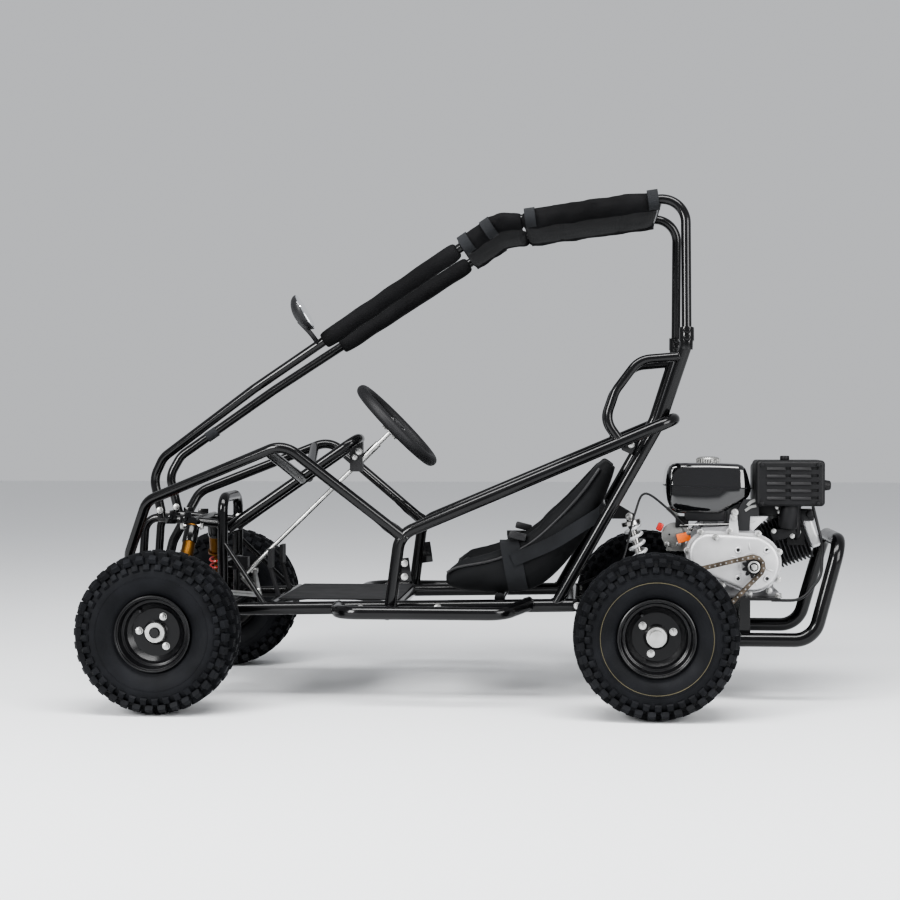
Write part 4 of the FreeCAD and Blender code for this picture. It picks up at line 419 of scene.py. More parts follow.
def stamp(mesh, data, matrix):
    # adds a copy of a small mesh at a place
    before = len(mesh.verts)
    mesh.from_mesh(data)
    mesh.verts.ensure_lookup_table()
    bmesh.ops.transform(mesh, matrix=matrix, verts=mesh.verts[before:])


def makeTyre(name, node, body, outward, turned):
    low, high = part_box(node)
    centre = (low + high) / 2
    half, tip = (high.y - low.y) / 2, (high.z - low.z) / 2
    mesh = bmesh.new()
    side = [(share * half, radius * tip) for share, radius in tyreLook["carcass"]]
    profile = side + [(-along, radius) for along, radius in side[-2::-1]]
    inner = [(along * 0.9, radius - tyreLook["wall"]) for along, radius in profile[1:-1]][::-1]
    addSpin(mesh, profile + inner, centre, across, upward, tyreLook["steps"], closed=True)
    rows = [(sign, *row) for sign in (-1, 1) for row in tyreLook["rows"]] + [(1, *tyreLook["middleRow"])]
    pitch = 2 * math.pi / tyreLook["knobCount"]
    for sign, along, radius, lean, sizes, shift in rows:
        knob = knobMesh(sizes, tyreLook["taper"], tyreLook["round"])
        foot = Matrix.Translation((0, sign * along * half, radius * tip))
        tilt = Matrix.Rotation(math.radians(-sign * lean), 4, "X")
        for number in range(tyreLook["knobCount"]):
            turn = Matrix.Rotation((number + shift + turned) * pitch, 4, "Y")
            stamp(mesh, knob, Matrix.Translation(centre) @ turn @ foot @ tilt)
        bpy.data.meshes.remove(knob)
    for vert in mesh.verts:  # nothing past the tyre's own reach
        spoke = Vector((vert.co.x - centre.x, 0, vert.co.z - centre.z))
        if spoke.length > tip:
            vert.co -= spoke.normalized() * (spoke.length - tip)
        vert.co.y = min(max(vert.co.y, low.y), high.y)
    if body == "rear_axle":  # the thin line on the rear tyres' outer walls
        line = [(outward * (tyreLook["lineShare"] * half + along), radius) for along, radius in tyreLook["line"]]
        addSpin(mesh, line, centre, across, upward, tyreLook["steps"], closed=True, index=1)
    for foot, share in tyreLook["sideRings"]:  # moulded rings on both sidewalls
        for sign in (-1, 1):
            ring = [(sign * (share * half + along), foot * tip + rise) for along, rise in tyreLook["ring"]]
            addSpin(mesh, ring, centre, across, upward, tyreLook["steps"], closed=True)
    piece = finishPiece(mesh, name, body, "tyre_black", 35, "tyreRubber", "tyreLine")
    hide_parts(node)


def addRim(mesh, centre, outward, half):
    # pressed rim: rolled flanges, bead seats, a stepped well and a dished disc
    outer = half * rimLook["widthShare"]
    profile = [(outer - inset, radius) for inset, radius in rimLook["outerSide"]]
    profile += [(inset - outer, radius) for inset, radius in rimLook["innerSide"]]
    thinnest = rimLook["well"] - rimLook["wall"]
    back = [(along * rimLook["backShare"], max(radius - rimLook["wall"], thinnest)) for along, radius in profile[::-1]]
    face = outer - rimLook["face"]
    dish = [(face - inset, radius) for inset, radius in rimLook["dish"]]
    for outline in (profile + back, dish):
        addSpin(mesh, [(outward * along, radius) for along, radius in outline], centre, across, upward,
                rimLook["steps"], closed=True)
    return face - rimLook["hubFace"]


def addHubParts(mesh, centre, outward, discAt, rear):
    # zinc hub washer, its nut or bearing and the three wheel bolts
    out = across * outward
    addSpin(mesh, [(outward * (discAt + along), radius) for along, radius in rimLook["hub"]],
            centre, across, upward, 48, closed=True, index=1)
    place = centre + out * (discAt + rimLook["hubEnd"])
    if rear:
        addHex(mesh, place, out, 0.019, 0.008, 1, 0)
        addDisc(mesh, place, place + out * 0.0125, 0.0058, 20, bevel=0.0006, index=1)
    else:
        addDisc(mesh, place, place + out * 0.0008, 0.0108, 24, index=2)
        addDisc(mesh, place, place + out * 0.0022, 0.0045, 20, bevel=0.0005, index=1)
    for angle in rimLook["rearBolts"] if rear else rimLook["frontBolts"]:
        turn = math.radians(angle)
        bolt = centre + Vector((-math.cos(turn), 0, math.sin(turn))) * rimLook["boltCircle"] + out * discAt
        addHex(mesh, bolt, out, 0.0125, 0.0070, 1)
        addDisc(mesh, bolt, bolt + out * 0.0115, 0.0036, 16, bevel=0.0005, index=1)


def addValve(mesh, centre, outward, discAt):
    # rubber valve stem near the step of the rim
    out = across * outward
    base = centre + Vector(rimLook["valve"]).normalized() * rimLook["valveCircle"] + out * discAt
    addDisc(mesh, base, base + out * 0.010, 0.0042, 16, endRadius=0.0032, bevel=0.0004, index=2)
    addDisc(mesh, base + out * 0.010, base + out * 0.019, 0.0028, 14, bevel=0.0004, index=2)


def addWheel(mesh, node, outward, rear):
    # a whole rim with its hub parts and valve, in the tyre's middle
    low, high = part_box(node)
    centre = (low + high) / 2
    discAt = addRim(mesh, centre, outward, (high.y - low.y) / 2)
    addHubParts(mesh, centre, outward, discAt, rear)
    addValve(mesh, centre, outward, discAt)


rimFinish = ("rimBlack", "zincPlate", "plasticBlack")
for side, outward in (("left", 1), ("right", -1)):
    frontBody = "wheel_front_" + side
    makeTyre("tyreFront_" + side, "tyre_front_" + side, frontBody, outward, 0.35)
    makeTyre("tyreRear_" + side, "tyre_rear_" + side, "rear_axle", outward, 0.1)
    mesh = bmesh.new()
    addWheel(mesh, "tyre_front_" + side, outward, False)
    piece = finishPiece(mesh, "rimFront_" + side, frontBody, "rim_black", 30, *rimFinish)
    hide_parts("rim_front_" + side)
mesh = bmesh.new()
addWheel(mesh, "tyre_rear_left", 1, True)
addWheel(mesh, "tyre_rear_right", -1, True)
piece = finishPiece(mesh, "rimsRear", "rear_axle", "rim_black", 30, *rimFinish)
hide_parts("rear_rims")
print("wheels made")

# soft goods: seat, foam sleeves and roof wraps
softLook = {"pressure": 4.0, "frames": 18, "quality": 4}


def evaluated(holder):
    graph = bpy.context.evaluated_depsgraph_get()
    return bpy.data.meshes.new_from_object(holder.evaluated_get(graph))


def swell(mesh, cap, voxel):
    # remeshes a soft form evenly and lets a cloth skin under pressure fill it out, by no more than cap
    cleaned(mesh)
    holder = toObject(mesh, "softForm")
    remesh = holder.modifiers.new("remesh", "REMESH")
    remesh.mode = "VOXEL"
    remesh.voxel_size = voxel
    even = evaluated(holder)
    holder.modifiers.clear()
    holder.data = even
    rest = [vert.co.copy() for vert in even.vertices]
    cloth = holder.modifiers.new("cloth", "CLOTH")
    cloth.settings.use_pressure = True
    cloth.settings.uniform_pressure_force = softLook["pressure"]
    cloth.settings.effector_weights.gravity = 0
    cloth.settings.quality = softLook["quality"]
    for frameNumber in range(1, softLook["frames"] + 1):
        bpy.context.scene.frame_set(frameNumber)
    swollen = evaluated(holder)
    moves = [vert.co - start for vert, start in zip(swollen.vertices, rest)]
    holder.modifiers.clear()
    bpy.context.scene.frame_set(1)
    for vert, start, move in zip(even.vertices, rest, moves):
        if move.length > cap:
            move = move * (cap / move.length)
        vert.co = start + move
    made = bmesh.new()
    made.from_mesh(even)
    bpy.data.objects.remove(holder)
    for number in range(2):
        bmesh.ops.smooth_vert(made, verts=made.verts, factor=0.5, use_axis_x=True, use_axis_y=True, use_axis_z=True)
    return made


def press(mesh, distanceTo, depth, width):
    # sews a channel: draws the skin in where distanceTo gives a small distance
    moves = []
    mesh.normal_update()
    for vert in mesh.verts:
        away = distanceTo(vert.co)
        if away is not None and away < 3 * width:
            moves.append((vert, vert.normal * (-depth * math.exp(-(away / width) ** 2))))
    for vert, move in moves:
        vert.co += move


def finishSoft(mesh, name, finishName, node):
    piece = finishPiece(mesh, name, "chassis", "pad_black", 80, finishName)
    rounder = piece.modifiers.new("rounder", "SUBSURF")
    rounder.levels = rounder.render_levels = 1
    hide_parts(node)


# bucket seat: one padded shell with raised sides and sewn channels
seatLook = {
    "top": [(608, 290), (636, 317), (722, 341), (800, 382), (866, 439), (924, 498), (975, 556)],
    "floor": [(612, 286), (644, 299), (736, 290), (804, 306), (862, 364), (920, 452), (979, 553)],
    "under": [(617, 264), (662, 256), (745, 252), (818, 264), (884, 320), (948, 410), (1000, 540)],
    "half": 186, "narrowing": 0.10, "steps": 64, "bolster": 42, "cap": 0.007, "voxel": 0.0065, "fill": 0.8,
    "channel": 0.0055, "channelWidth": 0.007, "channels": (0.20, 0.36, 0.52, 0.66, 0.80), "channelReach": 0.128,
    "channelSpan": (-0.02, 0.05), "cushion": (-1, 0, 0.25), "cushionRows": 2, "back": (-0.62, 0, 0.78),
    "seam": 0.005, "seamWidth": 0.006, "seamLeft": 0.130, "seamFoot": 0.27,
}


def seatRing(share):
    # the seat's outline across, part of the way from its front edge to the top of its back
    top, floor, under = ([curveAt([place[axis] for place in seatLook[curve]], share) for axis in (0, 1)]
                         for curve in ("top", "floor", "under"))
    half = seatLook["half"] * (1 - seatLook["narrowing"] * share ** 2)
    wall = seatLook["bolster"]
    ring = []
    outline = [  # across in millimetres, share from floor to top or under
        (0, floor), (half * 0.45, floor), (half - wall * 1.5, floor), (half - wall * 0.9, (0.5, floor, top)),
        (half - wall * 0.55, top), (half - wall * 0.2, top), (half, (0.35, top, under)), (half, (0.7, top, under)),
        (half - 14, under), (half * 0.6, under), (0, under),
    ]
    for left, mark in outline:
        if isinstance(mark, tuple):
            portion, start, end = mark
            mark = [start[axis] + (end[axis] - start[axis]) * portion for axis in (0, 1)]
        ring.append((left, mark))
    ring += [(-left, mark) for left, mark in ring[-2:0:-1]]
    return [spot(mark[0], left, mark[1]) for left, mark in ring]


mesh = bmesh.new()
loftRings(mesh, [seatRing(step / seatLook["steps"]) for step in range(seatLook["steps"] + 1)])
mesh = swell(mesh, seatLook["cap"], seatLook["voxel"])
seatLine = [spot(curveAt([place[0] for place in seatLook["floor"]], share), 0,
                 curveAt([place[1] for place in seatLook["floor"]], share)) for share in seatLook["channels"]]


def channelAway(place):
    # distance along the seat's surface to the nearest cross channel, between the side bolsters
    if abs(place.y) > seatLook["channelReach"]:
        return None
    best = None
    for number, start in enumerate(seatLine):
        heading = Vector(seatLook["cushion"] if number < seatLook["cushionRows"] else seatLook["back"])
        away = abs((place - start).dot(heading.normalized()))
        over = (place - start).dot(Vector((heading.z, 0, -heading.x)))
        if seatLook["channelSpan"][0] < over < seatLook["channelSpan"][1]:
            best = away if best is None else min(best, away)
    return best


def seamAway(place):
    # distance to the seams along the side bolsters
    return abs(abs(place.y) - seatLook["seamLeft"]) if place.z > seatLook["seamFoot"] else None


press(mesh, channelAway, seatLook["channel"], seatLook["channelWidth"])
press(mesh, seamAway, seatLook["seam"], seatLook["seamWidth"])
finishSoft(mesh, "seatPad", "seatCloth", "seat")

# piping along the seat's bolsters, and the hip belt with its side straps and buckles
beltLook = {
    "width": 0.044, "thickness": 0.0018, "share": 0.415, "lift": 0.0035,
    "piping": 0.0034, "pipingLift": 0.0012, "pipingSteps": (5, 61), "pipingShare": 0.6,
    "sideWidth": 0.030, "side": [(768, 190, 322), (800, 190.5, 336), (860, 186, 362), (925, 181, 402),
                                 (966, 178, 428), (982, 178, 444)],
    "blocks": [((780, 176, 377), (0.040, 0.022, 0.016), 0.003, -14, 1),
               ((780, -176, 377), (0.040, 0.022, 0.016), 0.003, -14, 1),
               ((772, 0, 304), (0.052, 0.066, 0.016), 0.004, 0, 1),
               ((772, 0, 312), (0.020, 0.018, 0.006), 0.002, 0, 2)],
}
mesh = bmesh.new()
for sign in (1, -1):
    line = []
    for step in range(*beltLook["pipingSteps"]):
        ring = seatRing(step / seatLook["steps"])
        place = ring[5].lerp(ring[6], beltLook["pipingShare"]) + across * beltLook["pipingLift"]
        line.append(place if sign > 0 else mirrored(place))
    addTube(mesh, line, beltLook["piping"], 8)
finishPiece(mesh, "seatPiping", "chassis", "pad_black", 40, "plasticBlack")

mesh = bmesh.new()
ring = seatRing(beltLook["share"])
middle = sum(ring, Vector()) / len(ring) - upward * 0.03
line = smoothLine([mirrored(place) for place in ring[8:0:-1]] + ring[:9], 6)
outs = []
for number, place in enumerate(line):
    out = headingAt(line, number).cross(forward).normalized()
    outs.append(out if out.dot(place - middle) > 0 else -out)
addBand(mesh, [place + out * beltLook["lift"] for place, out in zip(line, outs)], outs,
        beltLook["width"], beltLook["thickness"])
for sign in (1, -1):
    line = smoothLine([sided(place, sign) for place in beltLook["side"]], 6)
    addBand(mesh, line, [across * sign] * len(line), beltLook["sideWidth"], beltLook["thickness"])
addParts(mesh, beltLook)
finishPiece(mesh, "seatBelts", "chassis", "pad_black", 40, "strapGrey", "plasticBlack", "knobRed")


tubeLook = {"steps": 48, "overlap": 0.004, "squeeze": 0.16, "squeezeRate": 1.3, "waveShare": 0.6}


def tubeWrap(mesh, line, radius, wave):
    # a foam sleeve round a tube, wrapped shut with an overlapping edge
    rings = []
    places = smoothLine(line, 10)
    for number, place in enumerate(places):
        heading = headingAt(places, number)
        side = across if abs(heading.dot(across)) < 0.9 else upward
        side = (side - heading * side.dot(heading)).normalized()
        other = heading.cross(side)
        ends = min(number, len(places) - 1 - number)
        squeeze = 1 - tubeLook["squeeze"] * math.exp(-ends * tubeLook["squeezeRate"])
        ring = []
        for step in range(tubeLook["steps"]):
            angle = 2 * math.pi * step / tubeLook["steps"]
            swellBy = wave * math.sin(3.1 * number * 0.35 + 2 * angle) + wave * math.sin(number * 0.8 - angle)
            lip = tubeLook["overlap"] * max(0, 1 - abs(((angle + 2.2) % (2 * math.pi)) - 3.3) / 0.5)
            reach = radius * squeeze + swellBy * tubeLook["waveShare"] + lip
            ring.append(place + side * (reach * math.cos(angle)) + other * (reach * math.sin(angle)))
        rings.append(ring)
    loftRings(mesh, rings)


sleeveLook = {"shares": (0.35, 0.56, 0.78, 1.008), "radius": 0.0205, "wave": 0.0008, "cap": 0.004, "voxel": 0.0045,
              "fill": 0.85}
cageSlope = spot(163, 122, 714)
roofFront, roofRear = spot(733, 185, 1087), spot(1157, 196, 1143)
cageSplice = cageSlope.lerp(roofFront, 0.837)
mesh = bmesh.new()
line = [cageSlope.lerp(cageSplice, share) for share in sleeveLook["shares"]]
for course in (line, [mirrored(place) for place in line]):
    tubeWrap(mesh, course, sleeveLook["radius"], sleeveLook["wave"])
mesh = swell(mesh, sleeveLook["cap"], sleeveLook["voxel"])
finishSoft(mesh, "cageSleeves", "padNylon", "cage_pads")


def wrapSheet(mesh, line, halfWidth, thickness, drop):
    # the quilted sheet that spans from tube to tube
    places = smoothLine(line, 8)
    rings = []
    for number, place in enumerate(places):
        normal = across.cross(headingAt(places, number)).normalized()
        normal = normal if normal.z > 0 else -normal
        ring = []
        for sign in (1, -1):
            for step in range(wrapLook["sheetSteps"] + 1):
                share = step / wrapLook["sheetSteps"] * 2 - 1
                left = sign * share * halfWidth
                sag = drop * (1 - share ** 2)
                ring.append(place + across * (left - place.y) + normal * (sign * thickness / 2 - sag))
        rings.append(ring)
    loftRings(mesh, rings)


wrapLook = {
    "radius": 0.0188, "wave": 0.0012, "sheet": 0.015, "sheetDrop": 0.006, "sheetSteps": 16,
    "cap": 0.006, "voxel": 0.0055, "fill": 0.7,
    "stitch": 0.003, "stitchWidth": 0.004, "stitchReach": 0.168,
}
wraps = (  # name, node, course along the tube, sag between the tubes, shares where the rows of stitches run
    ("roofWrapFront", "roof_pad_front", [cageSplice.lerp(roofFront, 0.09), cageSplice.lerp(roofFront, 0.7),
                                         roofFront, roofFront.lerp(roofRear, 0.143)], 0.010, ()),
    ("roofWrapRear", "roof_pad_rear", [roofFront.lerp(roofRear, share) for share in (0.127, 0.38, 0.62, 0.87)],
     0.008, (-0.22, 0.22)),
)


def stitchAway(place, row):
    return abs(place.x - row) if abs(place.y) < wrapLook["stitchReach"] else None


for name, node, line, drop, rows in wraps:
    mesh = bmesh.new()
    for course in (line, [mirrored(place) for place in line]):
        tubeWrap(mesh, course, wrapLook["radius"], wrapLook["wave"])
    wrapSheet(mesh, [place - upward * wrapLook["sheetDrop"] for place in line], min(place.y for place in line),
              wrapLook["sheet"], drop)
    mesh = swell(mesh, wrapLook["cap"], wrapLook["voxel"])
    middle = sum(place.x for place in line) / len(line)
    for share in rows:
        row = middle + share * abs(line[0].x - line[-1].x)
        press(mesh, lambda place: stitchAway(place, row), wrapLook["stitch"], wrapLook["stitchWidth"])
    finishSoft(mesh, name, "padNylon", node)
print("soft goods made")

# gear cover: rim bolts on their bosses, cast ribs, the output shaft and the guard's four holes, with painted shade
# inside them
coverLook = {
    "rimBolts": [(1197, 382), (1263, 384), (1328, 379), (1375, 338), (1373, 275), (1352, 249), (1307, 241),
                 (1247, 262), (1183, 298), (1167, 340)],
    "boss": 0.0078, "bossEnds": (92, 110),
    "ribs": 6, "ribTurn": 20, "ribMiddle": (1313, 125, 312), "ribReach": 0.041, "ribSizes": (0.018, 0.005, 0.004),
    "holeCentre": (1313, 125.7, 311), "holeOffset": 32.5,
    "holeRing": [(0, 0.0042), (0.0022, 0.0042), (0.0026, 0.0050), (0.0026, 0.0066), (0.0018, 0.0076), (0, 0.0076)],
    "discs": [((1313, 127, 308), (1313, 129, 308), 0.0225, 40, 0.0008, 2),
              ((1313, 156.5, 308), (1313, 164.5, 308), 0.0138, 32, 0.0012, 1)],
    "heads": [((1313, 164.5, 308), "left", 0.013, 0.006, 1, 0), ((1272, 104.5, 416), "left", 0.012, 0.007, 1),
              ((1276, 94, 428), "left", 0.013, 0.010, 1), ((1230, 126, 372), "left", 0.012, 0.008, 1)],
}
mesh = bmesh.new()
for behind, height in coverLook["rimBolts"]:
    low, high = (spot(behind, left, height) for left in coverLook["bossEnds"])
    addDisc(mesh, low, high, coverLook["boss"], 20, bevel=0.0012)
    addHex(mesh, high, across, 0.010, 0.0065, 1, 1.3)
for number in range(coverLook["ribs"]):
    angle = number * 360 / coverLook["ribs"] + coverLook["ribTurn"]
    middle = onCircle(spot(*coverLook["ribMiddle"]), coverLook["ribReach"], math.radians(angle))
    addBlock(mesh, middle, coverLook["ribSizes"], 0.0012, -angle)
for behind in (-coverLook["holeOffset"], coverLook["holeOffset"]):
    for height in (-coverLook["holeOffset"], coverLook["holeOffset"]):
        hole = spot(*coverLook["holeCentre"]) + Vector((behind, 0, height)) / 1000
        addSpin(mesh, coverLook["holeRing"], hole, across, upward, 28, closed=True)
        # painted shade: a black disc inside each hole stands in for the dark of the threaded hole
        addDisc(mesh, hole - across * 0.0007, hole + across * 0.0008, 0.0043, 20, index=2)
addParts(mesh, coverLook)
finishPiece(mesh, "coverHardware", "chassis", "cast_aluminium", 35, "castAluminium", "zincPlate", "plasticBlack")

# pressed fuel tank: two shells that meet at a seam, wider at the seam than at the top
tankLook = {
    "top": [(1118, 494), (1119.5, 508), (1122, 522), (1127, 533), (1134, 538.5), (1146, 541), (1214, 541.2),
            (1240, 540.8), (1284, 539), (1294, 536), (1301, 529), (1306, 516), (1310, 502), (1313, 488)],
    "under": [484, 466, 450, 439, 431, 425, 422, 422, 447, 452.5, 456.5, 461, 467, 478],
    "half": [80, 86, 92, 96.5, 99, 100, 100, 100, 100, 99, 97, 94, 88, 80],
    "lip": [(1113, 72), (1116, 84), (1122, 93), (1132, 99), (1146, 101.6), (1284, 101.6), (1296, 100), (1306, 96),
            (1314, 86), (1317.5, 74)],
    "middle": 4, "topTaper": 0.87, "underTaper": 0.94, "round": 17, "roundSteps": 5, "seamFront": 489,
    "seamSlope": -0.036, "lipThickness": 0.0026,
}


def seamAt(behind):
    return tankLook["seamFront"] + tankLook["seamSlope"] * (behind - tankLook["top"][0][0])


def tankSection(behind, top, under, half):
    seam = seamAt(behind)
    ring = []
    for edge, taper in ((top, tankLook["topTaper"]), (under, tankLook["underTaper"])):
        arc = min(tankLook["round"], abs(edge - seam) * 0.8)
        sign = 1 if edge > seam else -1
        corner = [(0, edge), (half * taper * 0.5, edge)]
        for step in range(tankLook["roundSteps"] + 1):
            angle = math.pi / 2 * step / tankLook["roundSteps"]
            corner.append((half * taper - arc * (1 - math.sin(angle)), edge - sign * arc * (1 - math.cos(angle))))
        ring += corner if sign > 0 else [(half, seam)] + corner[::-1]
    ring += [(-out, height) for out, height in ring[-2:0:-1]]
    return [spot(behind, tankLook["middle"] + out, height) for out, height in ring]


mesh = bmesh.new()
loftRings(mesh, [tankSection(*place, under, half)
                 for place, under, half in zip(tankLook["top"], tankLook["under"], tankLook["half"])])
lip = tankLook["lip"] + [(behind, -reach) for behind, reach in tankLook["lip"][::-1]]
addPlate(mesh, [spot(behind, tankLook["middle"] + reach, seamAt(behind)) for behind, reach in lip],
         upward * tankLook["lipThickness"])
piece = finishPiece(mesh, "fuelTank", "chassis", "tank_black", 38, "tankBlack")
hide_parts("fuel_tank")

# tank cap with a knurled skirt
capLook = {
    "profile": [(0.0, 0.0), (0.0, 0.024), (0.0004, 0.0255), (0.0095, 0.0265), (0.0125, 0.0245), (0.0145, 0.019),
                (0.0152, 0.012), (0.0142, 0.006), (0.0142, 0.0)],
    "ribs": 28, "ribCircle": 0.0262, "ribFoot": 0.001, "ribTop": 0.010, "rib": 0.0018,
}
mesh = bmesh.new()
low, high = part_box("tank_cap")
foot = Vector(((low.x + high.x) / 2, (low.y + high.y) / 2, low.z))
addSpin(mesh, capLook["profile"], foot, upward, forward, 64)
for number in range(capLook["ribs"]):
    angle = 2 * math.pi * number / capLook["ribs"]
    place = foot + (forward * math.cos(angle) + across * math.sin(angle)) * capLook["ribCircle"]
    addDisc(mesh, place + upward * capLook["ribFoot"], place + upward * capLook["ribTop"], capLook["rib"], 10)
piece = finishPiece(mesh, "tankCap", "chassis", "zinc_steel", 35, "capSilver")
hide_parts("tank_cap")

# silencer: louvre hoods and bolts on its guard, spark arrester, the header's shield and flange, and brackets
silencerLook = {
    "guardFace": 116, "louvreRows": 5, "louvreFoot": 462.1, "louvreRise": 16.8, "louvres": ((1346, 1388), (1400, 1446)),
    "discs": [((1390, 80, 547), (1390, 80, 558), 0.0105, 28, 0.002, 0),
              ((1460, 86, 491), (1494, 86, 490), 0.0150, 32, 0.004, 0, 0.0105),
              ((1404, 84, 457), (1397, 76, 392), 0.0205, 32, 0.003, 0, 0.0225),
              ((1428, 60, 447), (1428, 84, 447), 0.0060, 16, 0.001, 0)],
    "blocks": [((1388, 74, 379), (0.058, 0.010, 0.026), 0.004, 16, 0),  # flange
               ((1361, 62, 438), (0.066, 0.006, 0.040), 0.003, 0, 0),  # bracket from the tank to the guard
               ((1208, 76, 423), (0.092, 0.030, 0.032), 0.005, 0, 0)],  # housing under the tank
    "heads": [((behind, 116, height), "left", 0.008, 0.004, 0) for behind in (1335, 1462) for height in (450, 538)]
    + [((1366, 79, 384.5), "left", 0.0085, 0.005, 1), ((1408, 79, 373), "left", 0.0085, 0.005, 1)]
    + [(place, "left", 0.0075, 0.004, 1) for place in ((1375, 65, 438.5), (1380, 65, 427.5), (1428, 84, 447))],
}
mesh = bmesh.new()
for row in range(silencerLook["louvreRows"]):
    for start, end in silencerLook["louvres"]:
        height = silencerLook["louvreFoot"] + row * silencerLook["louvreRise"]
        middle = spot((start + end) / 2, silencerLook["guardFace"] + 0.6, height)
        addBlock(mesh, middle, ((end - start) / 1000, 0.0016, 0.0092), 0.0006, 28, "X")
addParts(mesh, silencerLook)
finishPiece(mesh, "silencerDress", "chassis", "muffler_black", 35, "heatBlack", "zincPlate")

# left side of the engine: fan shroud, control plate, fuel tap, governor arm and links
controlLook = {
    "discs": [((1140, 53, 372), (1140, 56, 372), 0.030, 40, 0.0010, 0),
              ((1109, 40, 392), (1109, 60, 392), 0.0055, 16, 0.001, 2),
              ((1128, 56, 374), (1128, 57, 374), 0.0022, 12, 0, 2)],
    "blocks": [((1143, 53.5, 350), (0.044, 0.003, 0.030), 0.0010, 0, 0),
               ((1157, 61, 404), (0.030, 0.010, 0.026), 0.002, 0, 2),
               ((1161, 66, 368), (0.031, 0.003, 0.021), 0.001, 14, 3),
               ((1106, 62, 392), (0.014, 0.010, 0.019), 0.003, -24, 4)],
    "heads": [((1172, 61.5, 378), "left", 0.010, 0.006, 1), ((1122, 57, 352), "left", 0.010, 0.006, 1),
              ((1149, 57, 352), "left", 0.010, 0.006, 1)],
    "bands": [  # places along the band, its width and thickness
        ([(1124, 60, 437), (1138, 60, 424), (1152, 60, 408), (1168, 60, 387), (1172, 60, 374)], 0.012, 0.003),
        ([(1299, 97, 432), (1311, 97, 440), (1324, 97, 443)], 0.006, 0.002),
        ([(1304, 97, 444), (1312, 97, 452), (1322, 97, 456)], 0.007, 0.002)],
    "link": [(1152, 68, 396), (1210, 92, 400), (1288, 92, 402), (1322, 89, 407)],
    "spring": (1168, 78, 388), "springTurns": 46, "springPitch": 1.35, "springRadius": 3.2,
    "plates": [  # outline, place left of the middle and finish: bright shield by the fins, shroud in front of it
        (((1309, 419), (1352, 418), (1332, 400), (1317, 384), (1311, 383)), 76, 5),
        (((1283, 386), (1282, 434), (1296, 458), (1329, 458), (1331, 420), (1311, 419), (1309, 386)), 82, 2)],
    "plateThickness": 0.014, "ring": [(0, 0.0032), (0.004, 0.0032), (0.004, 0.0058), (0, 0.0058)],
    "ringPlace": (1424, 60, 382),
}
mesh = bmesh.new()
addParts(mesh, controlLook)
for places, width, thickness in controlLook["bands"]:
    line = smoothLine([spot(*place) for place in places], 5)
    addBand(mesh, line, [across] * len(line), width, thickness)
addTube(mesh, smoothLine([spot(*place) for place in controlLook["link"]], 6), 0.0016, 8, index=1)
behind, out, height = controlLook["spring"]
addTube(mesh, [spot(behind + controlLook["springPitch"] * step,
                    out + controlLook["springRadius"] * math.cos(step * 0.9),
                    height + controlLook["springRadius"] * math.sin(step * 0.9))
               for step in range(controlLook["springTurns"])], 0.0008, 6, index=1)
for outline, out, index in controlLook["plates"]:
    addPlate(mesh, [spot(behind, out, height) for behind, height in outline],
             across * controlLook["plateThickness"], index)
addSpin(mesh, controlLook["ring"], spot(*controlLook["ringPlace"]), across, upward, 24, closed=True, index=1)
finishPiece(mesh, "engineControls", "chassis", "zinc_steel", 35,
            "capSilver", "zincPlate", "plasticBlack", "tagOrange", "knobRed", "castAluminium")

# right side: carburettor, plug lead, breather box, pull handle on the recoil cover, oil filler plug
intakeLook = {
    "discs": [((1385, -58, 378), (1385, -58, 400), 0.021, 28, 0.003, 0),
              ((1450, -56, 382), (1450, -74, 382), 0.0085, 20, 0, 1),
              ((1450, -68, 382), (1450, -92, 384), 0.0110, 20, 0.003, 2),
              ((1455, 32, 421), (1455, 40, 421), 0.0095, 28, 0.002, 2),
              ((1215, -146, 373), (1208, -146, 380), 0.0070, 20, 0.001, 2),
              ((1336, -96, 262), (1336, -112, 262), 0.013, 24, 0.002, 2)],
    "blocks": [((1385, -58, 418), (0.040, 0.052, 0.040), 0.005, 0, 0),
               ((1385, -84, 426), (0.028, 0.006, 0.010), 0.002, 0, 1),
               ((1446, 16, 419), (0.036, 0.034, 0.027), 0.004, 0, 2),
               ((1204.5, -146, 383.5), (0.042, 0.013, 0.012), 0.004, 45, 2),
               ((1336, -115, 262), (0.022, 0.008, 0.006), 0.0015, 0, 2)],
    "heads": [((1385, -58, 378), "down", 0.012, 0.007, 1)],
    "lead": [(1450, -90, 384), (1444, -102, 385), (1424, -114, 388), (1380, -119, 388), (1330, -118, 372)],
}
mesh = bmesh.new()
addParts(mesh, intakeLook)
addTube(mesh, smoothLine([spot(*place) for place in intakeLook["lead"]], 8), 0.0035, 12, index=2)
finishPiece(mesh, "carburettorAndPlug", "chassis", "cast_aluminium", 35, "castAluminium", "zincPlate", "plasticBlack")
print("engine dressed")

# chain: link plates, rollers and pins round both sprockets
chainLook = {
    "pitch": 0.0127, "bigTeeth": 47, "smallTeeth": 11, "left": 150, "plate": 0.0013, "height": 0.0098, "waist": 0.82,
    "corners": 14, "innerOffset": 0.0036, "outerOffset": 0.0051, "roller": 0.0039, "rollerReach": 0.0029,
    "pin": 0.0019, "pinReach": 0.0062,
}
smallCentre = spot(1313, chainLook["left"], 308)
bigCentre = Vector((rearAxle.x, smallCentre.y, rearAxle.z))


def pitchRadius(teeth):
    return chainLook["pitch"] / (2 * math.sin(math.pi / teeth))


